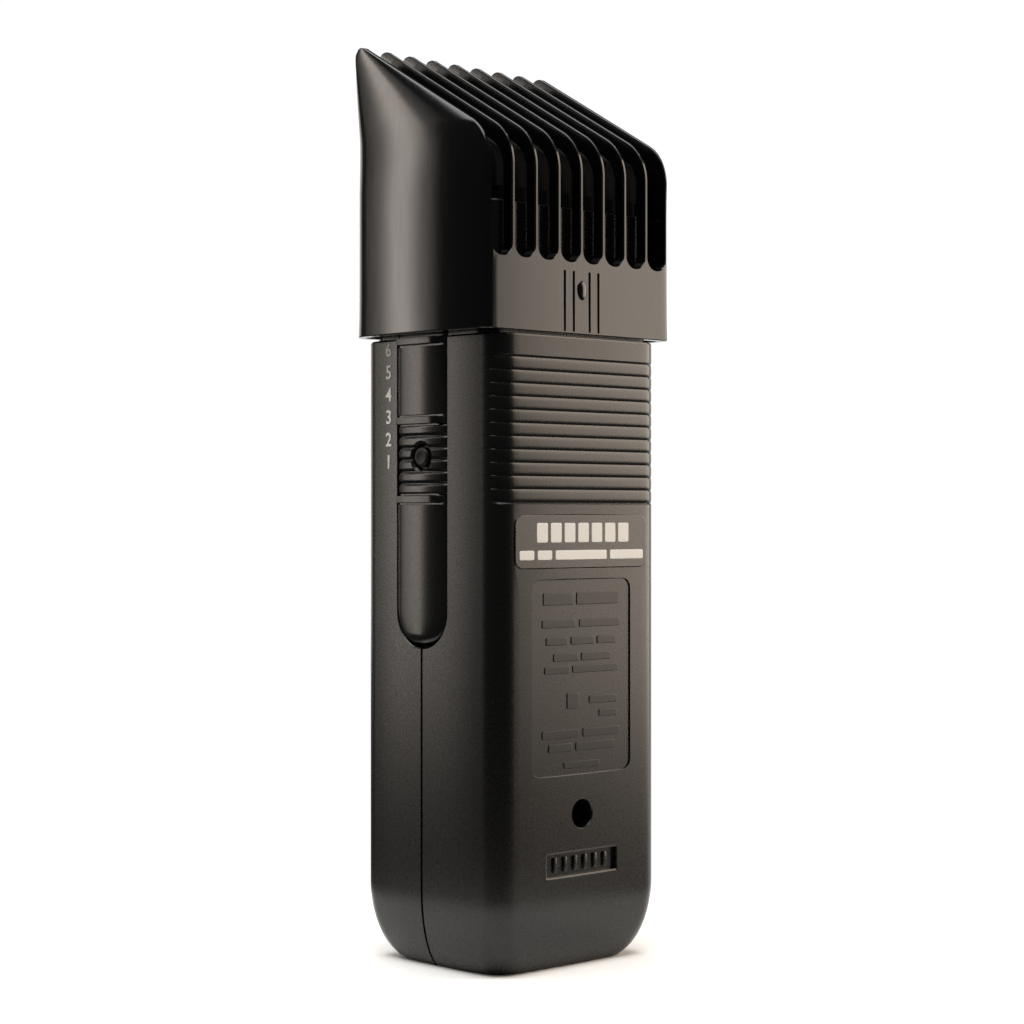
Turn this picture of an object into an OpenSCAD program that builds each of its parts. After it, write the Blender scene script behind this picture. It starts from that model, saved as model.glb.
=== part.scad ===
// Rechargeable hair clipper with a stepped comb hood. Millimetres.
// +Z up from the base, +Y towards the rear (label) face, -Y towards the switch face.
// The seam, the side channels and the motor all lie on the plane Y = 0.

/* [Housing] */
// Housing width across the sides
body_w = 41.6; // [41:0.1:44]
// Rear (label) face
rear_y = 19.4; // [19:0.1:20]
// Front (switch) face
front_y = -17.1; // [-17.6:0.1:-17]
// Radius of the four upright corners
body_r = 4; // [3:0.1:6]
// Height of the shoulder under the comb hood
shoulder_z = 112.6; // [111:0.1:112.7]
// Top of the neck that stands inside the comb hood
neck_z = 136; // [135:0.1:136]
// Inset of the rounded foot
foot_e = 5.2; // [4:0.1:6]
// Height of the rounded foot
foot_h = 14.5; // [10:0.1:16]
// Wall thickness
wall = 2.2; // [2:0.1:2.4]

/* [Side channels] */
// Width of the arm channels
chan_w = 13.3; // [12.5:0.1:14]
// Lower end of the arm channels
chan_z = 57.1; // [56:0.1:60]
// Channel floor, from the middle plane
chan_x = 18.2; // [18.1:0.1:18.3]
// Spacing of the comb settings
step = 4.06; // [3.5:0.01:4.2]

/* [Comb hood] */
// Width of the comb hood
comb_w = 49.8; // [49:0.1:52]
// Rear face of the hood
comb_yr = 19.45; // [19.4:0.05:20]
// Front face of the hood
comb_yf = -16.35; // [-17:0.05:-16.3]
// Lower edge of the hood at setting 1
comb_z = 113.1; // [112.9:0.1:114]
// Crease where the sides start to taper
crease_z = 145.5; // [144:0.1:147]
// Angle of the sloping top
slope = 29.5; // [28:0.5:31]
// Height of the line that the tooth tips follow
tip_z = 166.3; // [166:0.1:168]
// Place of that line across the depth
tip_y = -14.35; // [-14.5:0.05:-14]
// Radius where the rear turns into the top
bend_r = 9.1; // [8:0.1:10]
// Spacing of the comb teeth
pitch = 5.6; // [5.5:0.05:5.65]
// Lower end of the comb slots
slot_z = 125.8; // [125:0.1:128]

/* [Drive] */
// Radius of the motor can
motor_r = 12; // [11.5:0.1:12.5]
// Underside of the motor can
motor_z = 93; // [92.5:0.1:94]
// Throw of the eccentric
throw = 1; // [0.6:0.1:1]

/* [Inlet] */
// Spacing of the two inlet pins
pin_gap = 8.6; // [8.4:0.1:9]
// Radius of the inlet pins
pin_r = 1.2; // [1.1:0.05:1.3]

/* [Hidden] */
$fn = 48;
depth = rear_y - front_y;
body_y = (rear_y + front_y) / 2;
comb_d = comb_yr - comb_yf;
// centre of the rear bend, and where the bend meets the slope
bend_y = comb_yr - bend_r;
bend_z = tip_z + (-bend_r - sin(slope) * (bend_y - tip_y)) / cos(slope);
bend_s = cos(slope) * (bend_y - tip_y) - sin(slope) * (bend_z - tip_z);
// neck, set back from the hood's inner faces
neck_y = 1.45;
neck_d = 31;
arm_w = chan_w - 0.6;
arm_x = chan_x + 0.3;
screw_z = 27.6;
knob_z = 91.2;
lens_z = 56;
label_z = 76.15;
rating_z = 52.1;
inlet_y = -1.25;
cam_z = 125.5;
shaft_r = 1.15;
bearing_r = 1.2;
blade_w = 17.9;
blade_screw_x = 15.6;
blade_screw_s = 20.5;

// ---------- shared shapes ----------
// rounded rectangle, exact arcs
module rr(w, d, r) {
    square([w - 2 * r, d], center = true);
    square([w, d - 2 * r], center = true);
    for (i = [-1, 1], j = [-1, 1]) translate([i * (w / 2 - r), j * (d / 2 - r)]) circle(r);
}
module rbox(w, d, r, z0, z1, y = 0) translate([0, y, z0]) linear_extrude(z1 - z0) rr(w, d, r);
// box between its low and its high corner
module span(a, b) translate(a) cube([b[0] - a[0], b[1] - a[1], b[2] - a[2]]);
// cylinders along +X, +Y and +Z between two stations
module xcyl(r, x0, x1, y, z) translate([x0, y, z]) rotate([0, 90, 0]) cylinder(r = r, h = x1 - x0);
module ycyl(r, y0, y1, x, z) translate([x, y1, z]) rotate([90, 0, 0]) cylinder(r = r, h = y1 - y0);
module zcyl(r, z0, z1, x = 0, y = 0) translate([x, y, z0]) cylinder(r = r, h = z1 - z0);
// frame of the sloping top: local Y runs down the slope, local Z is its outward normal
module on_slope() translate([0, tip_y, tip_z]) rotate([-slope, 0, 0]) children();
// a slope coordinate pair as a point in Y and Z, and the slope's height over a depth
function on_side(s, h) = [tip_y + s * cos(slope) + h * sin(slope),
    tip_z - s * sin(slope) + h * cos(slope)];
function slope_z(y, h) = tip_z - tan(slope) * (y - tip_y) + h / cos(slope);
// a profile in Y and Z, drawn out along X to both sides
module across(half) translate([-half, 0, 0]) rotate([90, 0, 90]) linear_extrude(2 * half)
    children();
// a rounded panel sunk in, or laid on, the rear face
module rear_panel(w, h, r, z, y0, y1) translate([0, y0, z]) rotate([-90, 0, 0])
    linear_extrude(y1 - y0) rr(w, h, r);

// ---------- housing ----------
// an upright section whose foot follows a quarter ellipse
function foot(w, side) = [for (k = [0 : 6]) let (a = 15 + 12.5 * k)
    [side * (w / 2 - foot_e * (1 - sin(a))), foot_h * (cos(15) - cos(a))]];
module foot_profile(w) polygon(concat(foot(w, 1), [[w / 2, 200], [-w / 2, 200]],
    [for (k = [6 : -1 : 0]) foot(w, -1)[k]]));
module footed(w, d, r, z0, z1) intersection() {
    rbox(w, d, r, z0, z1, body_y);
    translate([0, 40, 0]) rotate([90, 0, 0]) linear_extrude(80) foot_profile(w);
    translate([0, body_y, 0]) across(40) foot_profile(d);
}
module cavity() difference() {
    union() {
        rbox(body_w - 2 * wall, depth - 2 * wall, 2.2, 7, shoulder_z - 2, body_y);
        rbox(body_w - 9.4, depth - 9.4, 1.5, 2.4, 8, body_y);
        rbox(body_w - 2 * wall, neck_d - 4, 2, 100, neck_z + 1, neck_y);
    }
    // wall left behind each channel
    for (s = [-1, 1]) translate([s * 21.2 - 5, -8.8, 53]) cube([10, 17.6, 90]);
}
module channels() for (s = [-1, 1]) scale([s, 1, 1]) {
    span([chan_x, -chan_w / 2, chan_z + chan_w / 2], [30, chan_w / 2, 150]);
    xcyl(chan_w / 2, chan_x, 30, 0, chan_z + chan_w / 2);
    // six lock notches, one for each setting
    for (k = [0 : 5]) span([chan_x - 0.5, -1.6, knob_z - 0.7 + step * k],
        [chan_x + 1, 1.6, knob_z + 0.7 + step * k]);
}
// dark line where the shells meet, below the channels and across the foot
module seam_groove() difference() {
    span([-30, -0.2, -2], [30, 0.2, chan_z + 8]);
    translate([0, 0, 0.45]) footed(body_w - 0.9, depth, 3.4, -1, 90);
}
module inlet_hole(r, z0, z1) {
    for (s = [-1, 1]) zcyl(r, z0, z1, s * pin_gap / 2, inlet_y);
    span([-pin_gap / 2, inlet_y - r, z0], [pin_gap / 2, inlet_y + r, z1]);
}
// one shell, between two stations in depth
module shell(y0, y1) difference() {
    intersection() {
        union() {
            footed(body_w, depth, body_r, -1, shoulder_z);
            rbox(body_w - 0.1, neck_d, 3, 100, neck_z, neck_y);
        }
        span([-40, y0, -5], [40, y1, 200]);
    }
    cavity();
}
module grip_grooves() for (k = [0 : 11]) let (z = 83.1 + 2.31 * k) difference() {
    span([-30, 15.55, z - 0.3], [30, 40, z + 0.3]);
    rbox(body_w - 0.8, depth - 0.8, 3.6, 70, 112, body_y);
}
module rear_housing() color([0.06, 0.057, 0.055]) {
    difference() {
        union() {
            shell(0, 40);
            ycyl(4.2, 0, rear_y - wall + 0.5, 0, screw_z);
        }
        channels();
        seam_groove();
        grip_grooves();
        ycyl(2.55, 10.15, 30, 0, screw_z);
        ycyl(1.5, -5, 11, 0, screw_z);
        rear_panel(33.3, 9.5, 1.8, label_z, rear_y - 0.35, 30);
        rear_panel(24.9, 34.6, 1.8, rating_z, rear_y - 0.5, 30);
        span([-8.8, rear_y - 0.7, 16.85], [8.8, 30, 20.95]);
        inlet_hole(4.6, -3, 9);
    }
    // plain tally bars in the moulded window
    for (k = [-2.5 : 1 : 2.5]) span([k * 2.5 - 0.4, rear_y - 0.9, 17.6],
        [k * 2.5 + 0.4, rear_y - 0.35, 20.2]);
}
module front_housing() color([0.06, 0.057, 0.055]) difference() {
    union() {
        shell(-40, 0);
        ycyl(3.2, front_y + wall - 0.5, 0, 0, screw_z);
    }
    channels();
    seam_groove();
    ycyl(1.3, -9.85, 5, 0, screw_z);
    span([-4.2, -30, 66.5], [4.2, -12, 85.7]);
    ycyl(1.9, -30, -12, 0, lens_z);
    inlet_hole(4.6, -3, 9);
}
module housing_screw() color([0.55, 0.55, 0.56]) difference() {
    union() {
        ycyl(2.3, 10.15, 11.95, 0, screw_z);
        ycyl(1.3, -8.85, 10.15, 0, screw_z);
    }
    span([-1.4, 11.35, screw_z - 0.3], [1.4, 13, screw_z + 0.3]);
    span([-0.3, 11.35, screw_z - 1.4], [0.3, 13, screw_z + 1.4]);
}
module warning_label() color([0.05, 0.05, 0.05])
    rear_panel(32.6, 8.8, 1.5, label_z, rear_y - 0.35, rear_y - 0.15);

// ---------- comb hood ----------
module hood_outside() hull() {
    rbox(comb_w, comb_d, 5, comb_z, bend_z, comb_yr - comb_d / 2);
    rbox(comb_w, comb_d - 0.8, 5, bend_z, crease_z, comb_yf + (comb_d - 0.8) / 2);
    xcyl(bend_r, -21.4, 21.4, bend_y, bend_z);
    xcyl(2, -23, 23, tip_y, tip_z - 2 / cos(slope));
}
module hood_hollow(half) across(half) polygon(concat([[-14.55, 110], [comb_yr - 2, 110]],
    [for (k = [0 : 6]) let (a = k * (90 - slope) / 6, q = bend_r - 2 - k / 6)
        [bend_y + q * cos(a), bend_z + q * sin(a)]],
    [[-14.55, slope_z(-14.55, -3)]]));
// slots are wide outside and narrow inside, which leaves each tooth a thin outer edge
module slot_section() polygon([[-2.45, 4], [2.45, 4], [2.45, 0], [2, -3.4], [-2, -3.4],
    [-2.45, 0]]);
module comb_slot() {
    translate([0, comb_yr, slot_z + 2.45]) linear_extrude(bend_z - slot_z - 2.4)
        slot_section();
    translate([0, comb_yr - 3.4, slot_z + 2.45]) rotate([-90, 0, 0])
        cylinder(r1 = 2, r2 = 2.45, h = 3.4);
    translate([0, bend_y, bend_z]) rotate([90, 0, 90]) rotate_extrude(angle = 90 - slope)
        polygon([[bend_r + 4, -2.45], [bend_r + 4, 2.45], [bend_r, 2.45], [bend_r - 3.4, 2],
            [bend_r - 3.4, -2], [bend_r, -2.45]]);
    on_slope() translate([0, bend_s + 0.05, 0]) rotate([90, 0, 0]) linear_extrude(bend_s + 8)
        slot_section();
    // open fronts of the slots
    span([-2.2, -30, 150], [2.2, -12.85, 168]);
}
module comb_hood() color([0.02, 0.02, 0.02]) {
    difference() {
        hood_outside();
        intersection() {
            hood_hollow(22.9);
            span([-30, -30, 100], [30, 30, 140]);
        }
        hood_hollow(21.2);
        for (k = [-3.5 : 1 : 3.5]) translate([k * pitch, 0, 0]) comb_slot();
    }
    // moulded witness ribs and bump on the rear band
    for (x = [-4.25, -2, 2, 4.25]) span([x - 0.25, comb_yr - 0.3, comb_z + 0.4],
        [x + 0.25, comb_yr + 0.2, 124.3]);
    intersection() {
        translate([0, comb_yr - 3.3, 120.6]) sphere(r = 3.5);
        span([-3, comb_yr - 0.5, 118], [3, comb_yr + 1, 124]);
    }
}
// one side arm: a convex strip, a bridge to the hood and a ribbed pad round the button
module comb_arm() color([0.05, 0.05, 0.048]) difference() {
    union() {
        intersection() {
            zcyl(14.2, 50, 126, 7.2, 0);
            union() {
                span([arm_x, -arm_w / 2, chan_z + chan_w / 2], [24, arm_w / 2, 126]);
                xcyl(arm_w / 2, arm_x, 24, 0, chan_z + chan_w / 2);
            }
        }
        span([arm_x + 0.4, -5, 115], [22.9, 5, 126]);
        span([arm_x, -arm_w / 2, 84.4], [21, arm_w / 2, 97.1]);
        for (z = [83, 97.1, 111.3]) span([arm_x, -arm_w / 2, z], [21.6, arm_w / 2, z + 1.4]);
        for (k = [0 : 7]) translate([21, arm_w / 2, 85.6 + k * 1.5]) rotate([90, 0, 0])
            cylinder(r = 0.42, h = arm_w);
    }
    xcyl(2.4, 18, 24, 0, knob_z);
    xcyl(3.1, 18, 20.3, 0, knob_z);
    // dished surround of the button
    translate([20.2, 0, knob_z]) rotate([0, 90, 0]) cylinder(r1 = 2.4, r2 = 4.4, h = 2);
}
module lock_button() color([0.045, 0.045, 0.045]) {
    xcyl(2.1, 19.2, 21.7, 0, knob_z);
    xcyl(2.85, 19.55, 20.2, 0, knob_z);
    translate([21.7, 0, knob_z]) rotate([0, 90, 0]) cylinder(r1 = 2.1, r2 = 1.6, h = 0.4);
}
module lock_spring() color([0.7, 0.7, 0.7]) difference() {
    xcyl(3.1, arm_x, arm_x + 0.25, 0, knob_z);
    xcyl(2.3, 18, 19, 0, knob_z);
}

// ---------- switch and electronics ----------
module power_switch_knob() color([0.05, 0.05, 0.05]) {
    span([-3.8, -17.75, 67], [3.8, -13.95, 80]);
    span([-7, -14.45, 63], [7, -13.45, 84]);
    difference() {
        rear_panel(12.6, 19, 2.5, 73.5, -19.65, -17.45);
        for (k = [-3 : 3]) xcyl(0.5, -10, 10, -19.85, 73.5 + k * 1.8);
    }
}
module switch_contact() color([0.8, 0.6, 0.3]) {
    span([-3, -13.45, 67], [3, -12.95, 80]);
    for (x = [-2, 2]) ycyl(0.6, -12.95, -12.65, x, 70);
}
module switch_terminals() color([0.75, 0.75, 0.72]) {
    span([-4.5, -9.35, 65], [4.5, -2.05, 79]);
    for (z = [67, 71, 75]) span([-3, -12.15, z], [3, -9.35, z + 1.4]);
}
module lamp_lens() color([0.8, 0.1, 0.05, 0.5]) {
    ycyl(1.9, front_y - 0.2, -14.9, 0, lens_z);
    ycyl(2.8, -14.9, -14.05, 0, lens_z);
}
module charge_lamp() color([0.7, 0.1, 0.1]) {
    ycyl(1.5, -13.75, -8.85, 0, lens_z);
    ycyl(1.8, -8.85, -7.85, 0, lens_z);
    for (x = [-1.1, 1.1]) ycyl(0.3, -7.85, -2.05, x, lens_z);
}
module circuit_board() color([0.45, 0.3, 0.12]) difference() {
    span([-15.2, -2.05, 32], [15.2, -0.45, 82]);
    for (x = [-12.5, 12.5]) ycyl(1.6, -5, 1, x, 79);
}
module transformer() color([0.35, 0.33, 0.3]) {
    for (z = [37, 47]) span([-12, -12.45, z], [3, -3.45, z + 4]);
    zcyl(4.2, 41, 47, -4.5, -7.95);
    for (x = [-10.5, 1.5]) span([x - 1.5, -10.45, 41], [x + 1.5, -5.45, 47]);
    for (x = [-9, 0]) ycyl(0.4, -3.45, -2.05, x, 39);
}
module smoothing_capacitor() color([0.1, 0.12, 0.3]) {
    zcyl(4, 36, 51, 10, -8.35);
    for (z = [38, 49]) ycyl(0.4, -4.45, -2.05, 10, z);
}
module battery_cells() color([0.2, 0.35, 0.2]) for (s = [-1, 1]) {
    zcyl(7.1, 32.5, 80.7, s * 7.3, 9.35);
    zcyl(2.6, 80.7, 81.5, s * 7.3, 9.35);
}
module battery_link() color([0.75, 0.75, 0.75]) span([-9.6, 7.35, 81.5], [9.6, 11.35, 81.8]);
module battery_tabs() color([0.75, 0.75, 0.75]) for (s = [-1, 1]) {
    span([s * 7.3 - 2, -0.45, 32.2], [s * 7.3 + 2, 11.55, 32.5]);
    span([s * 7.3 - 2, -0.45, 32.2], [s * 7.3 + 2, -0.15, 36]);
}
module motor_leads() color([0.6, 0.08, 0.06]) for (x = [-5, 5])
    zcyl(0.7, 82, motor_z - 2.5, x, inlet_y);
module mains_leads() color([0.85, 0.85, 0.85])
    for (s = [-1, 1]) zcyl(0.55, 19.5, 32, s * pin_gap / 2, inlet_y);

// ---------- inlet ----------
module inlet_socket() color([0.04, 0.04, 0.04]) difference() {
    union() {
        inlet_hole(4.6, 0.4, 8);
        span([-11, inlet_y - 6.5, 2.4], [11, inlet_y + 6.5, 16.5]);
    }
    inlet_hole(3.9, -1, 14);
    for (s = [-1, 1]) zcyl(1, 10, 20, s * pin_gap / 2, inlet_y);
}
module inlet_pins() color([0.8, 0.8, 0.78]) for (s = [-1, 1]) {
    zcyl(pin_r, 3, 14, s * pin_gap / 2, inlet_y);
    zcyl(1, 14, 19.5, s * pin_gap / 2, inlet_y);
}

// ---------- motor ----------
module motor_can() color([0.62, 0.62, 0.6]) difference() {
    union() {
        zcyl(motor_r, motor_z, 121);
        zcyl(3.2, 121, 122.6);
    }
    zcyl(motor_r - 0.8, motor_z - 1, 120);
    zcyl(bearing_r, 110, 125);
    for (x = [-8, 8]) zcyl(0.9, 118, 125, x);
}
module motor_end_cap() color([0.85, 0.83, 0.78]) difference() {
    union() {
        zcyl(motor_r, motor_z - 2.5, motor_z);
        zcyl(motor_r - 0.85, motor_z, motor_z + 1.5);
    }
    zcyl(bearing_r, 80, 100);
    zcyl(motor_r - 3, motor_z + 0.2, motor_z + 3);
}
module motor_magnets() color([0.15, 0.15, 0.16]) difference() {
    zcyl(motor_r - 0.8, 98, 118);
    zcyl(motor_r - 2.7, 97, 119);
    span([-2, -20, 90], [2, 20, 130]);
}
// shaft with a three-pole armature
module rotor() color([0.6, 0.4, 0.2]) {
    zcyl(shaft_r, 91.5, cam_z + 4);
    zcyl(3, 99, 117);
    for (a = [0, 120, 240]) rotate(a) {
        span([-1.6, 0, 99], [1.6, 7.5, 117]);
        intersection() {
            zcyl(8.6, 99, 117);
            span([-5, 6.6, 98], [5, 12, 118]);
        }
    }
}
module commutator() color([0.72, 0.42, 0.2]) difference() {
    zcyl(2.4, 95.2, 99);
    zcyl(shaft_r, 94, 100);
}
module eccentric_cam() color([0.85, 0.85, 0.85]) {
    difference() {
        zcyl(4, cam_z, cam_z + 5);
        zcyl(shaft_r, cam_z - 5, cam_z + 4);
    }
    zcyl(1.2, cam_z + 5, 140.4, throw);
}
module motor_plate() color([0.7, 0.7, 0.7]) difference() {
    rbox(31.8, neck_d - 4, 1.9, 121, 123, neck_y);
    zcyl(3.2, 120, 125);
    for (x = [-8, 8]) zcyl(1.1, 120, 125, x);
}
module motor_screws() color([0.55, 0.55, 0.56]) for (x = [-8, 8]) {
    zcyl(0.9, 120, 123, x);
    zcyl(1.8, 123, 124.2, x);
}

// ---------- cutting head ----------
module head_base() color([0.05, 0.05, 0.05]) difference() {
    union() {
        rbox(2 * blade_w, neck_d - 0.4, 2.5, neck_z, neck_z + 2.4, neck_y);
        rbox(31.6, neck_d - 4.4, 1.8, 131.5, neck_z, neck_y);
    }
    zcyl(3.2, 130, 140);
    rbox(28, 23, 1.5, 130, 134, neck_y);
}
module blade_frame() color([0.05, 0.05, 0.05]) difference() {
    // the deck behind the blades stands close under the hood
    across(blade_w) polygon([[-13.85, neck_z + 2.4], [16.15, neck_z + 2.4], [16.15, 142],
        [14.9, slope_z(14.9, -3.8)], on_side(22.3, -3.8), on_side(22.3, -6.4),
        [-13.85, slope_z(-13.85, -6.4)]]);
    across(14.5) polygon([[-11.95, 130], [14.4, 130], [14.4, slope_z(14.4, -8.4)],
        [-11.95, slope_z(-11.95, -8.4)]]);
    // opening for the drive fork, seat of the pressure spring, screw holes
    on_slope() span([-6, 8, -12], [6, 14.5, 0]);
    on_slope() span([-13, 15.6, -7.4], [13, 19, 0]);
    for (s = [-1, 1]) on_slope() zcyl(0.9, -12, 0, s * blade_screw_x, blade_screw_s);
}
// plate in slope coordinates with a row of teeth along its front edge
module toothed_plate(half, s0, s1, h0, h1) difference() {
    on_slope() span([-half, s0, h0], [half, s1, h1]);
    for (k = [0 : floor(half / 0.8) - 1]) on_slope() translate([k * 1.6 - half, 0, 0])
        span([0.85, s0 - 1, h0 - 1], [1.65, s0 + 2.8, h1 + 1]);
}
module fixed_blade() color([0.78, 0.78, 0.8]) difference() {
    union() {
        toothed_plate(blade_w, 3.2, 22, -5, -4.2);
        // side rails and rear land that rest on the frame
        for (x = [-blade_w, blade_w - 0.4]) on_slope() span([x, 7, -6.4], [x + 0.4, 22, -5]);
        on_slope() span([-17.5, 18.4, -6.4], [17.5, 22, -5]);
    }
    for (s = [-1, 1]) on_slope() zcyl(0.9, -12, 0, s * blade_screw_x, blade_screw_s);
}
module blade_screws() color([0.55, 0.55, 0.56]) for (s = [-1, 1]) on_slope() {
    zcyl(0.9, -9.4, -4.2, s * blade_screw_x, blade_screw_s);
    zcyl(1.6, -4.2, -3.5, s * blade_screw_x, blade_screw_s);
}
module moving_blade() color([0.82, 0.82, 0.84]) toothed_plate(16.1, 4.2, 17.6, -6.1, -5.3);
module drive_fork() color([0.8, 0.78, 0.7]) {
    stem = on_side(10.6, -7.4);
    difference() {
        union() {
            on_slope() span([-4, 9, -8.2], [4, 13.4, -6.1]);
            span([-4, stem[0] - 1.4, 144.5], [4, stem[0] + 1.4, stem[1]]);
            span([-4, stem[0] - 1.4, 140.9], [4, 4.4, 144.5]);
        }
        // slot that takes the eccentric pin
        span([-1.25, -3, 140], [1.25, 6, 150]);
    }
}
module blade_spring() color([0.75, 0.75, 0.76]) on_slope() difference() {
    span([-13, 15.6, -7.4], [13, 18.2, -7.1]);
    for (x = [-8, 0, 8]) span([x - 3, 16.4, -8], [x + 3, 17.4, -7]);
}

// ---------- assembly ----------
rear_housing();
front_housing();
housing_screw();
warning_label();
comb_hood();
comb_arm();  // comb_arm_right
mirror([1, 0, 0]) comb_arm();  // comb_arm_left
lock_button();  // lock_button_right
mirror([1, 0, 0]) lock_button();  // lock_button_left
lock_spring();  // lock_spring_right
mirror([1, 0, 0]) lock_spring();  // lock_spring_left
power_switch_knob();
switch_contact();
switch_terminals();
lamp_lens();
charge_lamp();
circuit_board();
transformer();
smoothing_capacitor();
battery_cells();
battery_link();
battery_tabs();
motor_leads();
mains_leads();
inlet_socket();
inlet_pins();
motor_can();
motor_end_cap();
motor_magnets();
rotor();
commutator();
eccentric_cam();
motor_plate();
motor_screws();
head_base();
blade_frame();
fixed_blade();
blade_screws();
moving_blade();
drive_fork();
blade_spring();
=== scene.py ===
"""Studio scene of a rechargeable hair clipper with a stepped comb hood.

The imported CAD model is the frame: every piece made here rides on one of its bodies. The shells, the
comb hood, the side arms and the prints are surfaces worked out with numpy, and the inner parts keep
their CAD shapes and get a finish. Lengths are in millimetres until they reach a mesh.
"""

from __future__ import annotations

import logging
import math
from dataclasses import dataclass
from enum import Enum
from typing import Any, Iterable, Sequence

import bmesh
import bpy
import numpy as np
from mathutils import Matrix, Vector

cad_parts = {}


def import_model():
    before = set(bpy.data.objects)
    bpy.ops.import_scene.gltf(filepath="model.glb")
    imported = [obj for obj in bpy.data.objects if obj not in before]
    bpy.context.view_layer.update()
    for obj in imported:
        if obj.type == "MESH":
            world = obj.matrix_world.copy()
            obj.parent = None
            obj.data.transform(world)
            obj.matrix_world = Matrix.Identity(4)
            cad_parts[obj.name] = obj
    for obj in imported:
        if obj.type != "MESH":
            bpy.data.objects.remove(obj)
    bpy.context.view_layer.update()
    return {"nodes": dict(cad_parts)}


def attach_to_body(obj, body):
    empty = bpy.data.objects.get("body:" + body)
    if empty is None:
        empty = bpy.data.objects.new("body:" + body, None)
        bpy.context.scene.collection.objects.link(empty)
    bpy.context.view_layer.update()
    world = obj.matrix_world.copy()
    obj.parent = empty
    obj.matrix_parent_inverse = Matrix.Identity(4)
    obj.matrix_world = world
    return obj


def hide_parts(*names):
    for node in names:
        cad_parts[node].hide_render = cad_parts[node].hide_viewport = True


LOG = logging.getLogger("hair_clipper")
MM = 0.001
# points closer than this are one point, and edges shorter than this are dropped, in metres
DOUBLES_M = 1e-7
SLIVERS_M = 1e-8
Array = np.ndarray
Piece = bpy.types.Object


# ---------------------------------------------------------------- meshes


def grid_quads(rows: int, cols: int) -> Array:
    """Quads of a grid of points stored row by row, whose last column joins the first.

    Args:
        rows: number of rows.
        cols: number of points in a row.

    Returns:
        An array of four corner indices per face.
    """
    row, col = np.meshgrid(np.arange(rows - 1), np.arange(cols), indexing="ij")
    here = row * cols + col
    right = row * cols + (col + 1) % cols
    return np.stack([here, right, right + cols, here + cols], -1).reshape(-1, 4)


def link(name: str, data: bpy.types.ID) -> Piece:
    """A new object linked to the scene.

    Args:
        name: the object's name.
        data: the mesh, light, camera or curve that it holds.

    Returns:
        The new object.
    """
    piece = bpy.data.objects.new(name, data)
    bpy.context.scene.collection.objects.link(piece)
    return piece


def make_object(name: str, points: Array, faces: Iterable[Sequence[int]]) -> Piece:
    """An object at the origin from points in millimetres, with doubles merged and normals outwards.

    Args:
        name: the piece's name.
        points: array of shape (n, 3), or one that flattens to it.
        faces: corner indices of each face.

    Returns:
        The new object, linked to the scene.
    """
    mesh = bpy.data.meshes.new(name)
    metres = np.asarray(points, float).reshape(-1, 3) * MM
    mesh.from_pydata(metres.tolist(), [], [list(map(int, face)) for face in faces])
    work = bmesh.new()
    work.from_mesh(mesh)
    bmesh.ops.remove_doubles(work, verts=work.verts, dist=DOUBLES_M)
    bmesh.ops.dissolve_degenerate(work, edges=work.edges, dist=SLIVERS_M)
    bmesh.ops.recalc_face_normals(work, faces=work.faces)
    work.to_mesh(mesh)
    work.free()
    mesh.update()
    return link(name, mesh)


def stacked(name: str, loops: Array) -> Piece:
    """A skin over a stack of closed loops, closed by a face on the first and on the last.

    Args:
        name: the piece's name.
        loops: array of shape (levels, points, 3).

    Returns:
        The new object.
    """
    levels, count, _ = loops.shape
    faces: list[Sequence[int]] = list(grid_quads(levels, count))
    faces.append(np.arange(count)[::-1])
    faces.append(np.arange(count) + (levels - 1) * count)
    return make_object(name, loops.reshape(-1, 3), faces)


def joined(name: str, pieces: Sequence[Piece]) -> Piece:
    """One object that holds the meshes of several pieces, which are removed.

    Args:
        name: the new piece's name.
        pieces: the pieces to join.

    Returns:
        The new object, linked to the scene.
    """
    work = bmesh.new()
    for piece in pieces:
        work.from_mesh(piece.data)
        bpy.data.objects.remove(piece)
    mesh = bpy.data.meshes.new(name)
    work.to_mesh(mesh)
    work.free()
    return link(name, mesh)


def settled(piece: Piece) -> Piece:
    """The piece with its modifiers applied to its mesh.

    Args:
        piece: the piece, which keeps its name and its place.

    Returns:
        The same piece.
    """
    graph = bpy.context.evaluated_depsgraph_get()
    mesh = bpy.data.meshes.new_from_object(piece.evaluated_get(graph))
    mesh.name = piece.name
    piece.modifiers.clear()
    piece.data = mesh
    return piece


class Cut(Enum):
    """How a carving tool meets the piece."""

    AWAY = "DIFFERENCE"
    ADD = "UNION"
    KEEP = "INTERSECT"


def carve(piece: Piece, tools: Sequence[Piece], cut: Cut) -> Piece:
    """Cuts a piece with closed tools that don't touch each other, and removes them.

    Args:
        piece: the closed piece.
        tools: the closed tools.
        cut: what happens where they meet.

    Returns:
        The same piece, carved.
    """
    tool = joined("tool", tools)
    boolean = piece.modifiers.new("cut", "BOOLEAN")
    boolean.operation = cut.value
    boolean.solver = "EXACT"
    boolean.object = tool
    settled(piece)
    bpy.data.objects.remove(tool)
    return piece


def shade(piece: Piece, degrees: float = 32.0) -> Piece:
    """Smooth shading with sharp edges past an angle.

    Args:
        piece: the piece.
        degrees: the angle between two faces past which their edge is sharp.

    Returns:
        The same piece.
    """
    mesh = piece.data
    mesh.polygons.foreach_set("use_smooth", np.ones(len(mesh.polygons), bool))
    mesh.set_sharp_from_angle(angle=math.radians(degrees))
    return piece


# ---------------------------------------------------------------- outlines


def arc(centre: Sequence[float], radius: float, start: float, stop: float, count: int) -> Array:
    """Points on an arc.

    Args:
        centre: the arc's centre.
        radius: its radius.
        start: first angle, in degrees.
        stop: last angle, in degrees.
        count: number of points.

    Returns:
        An array of shape (count, 2).
    """
    angle = np.radians(np.linspace(start, stop, count))
    return np.stack([centre[0] + radius * np.cos(angle), centre[1] + radius * np.sin(angle)], -1)


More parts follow.
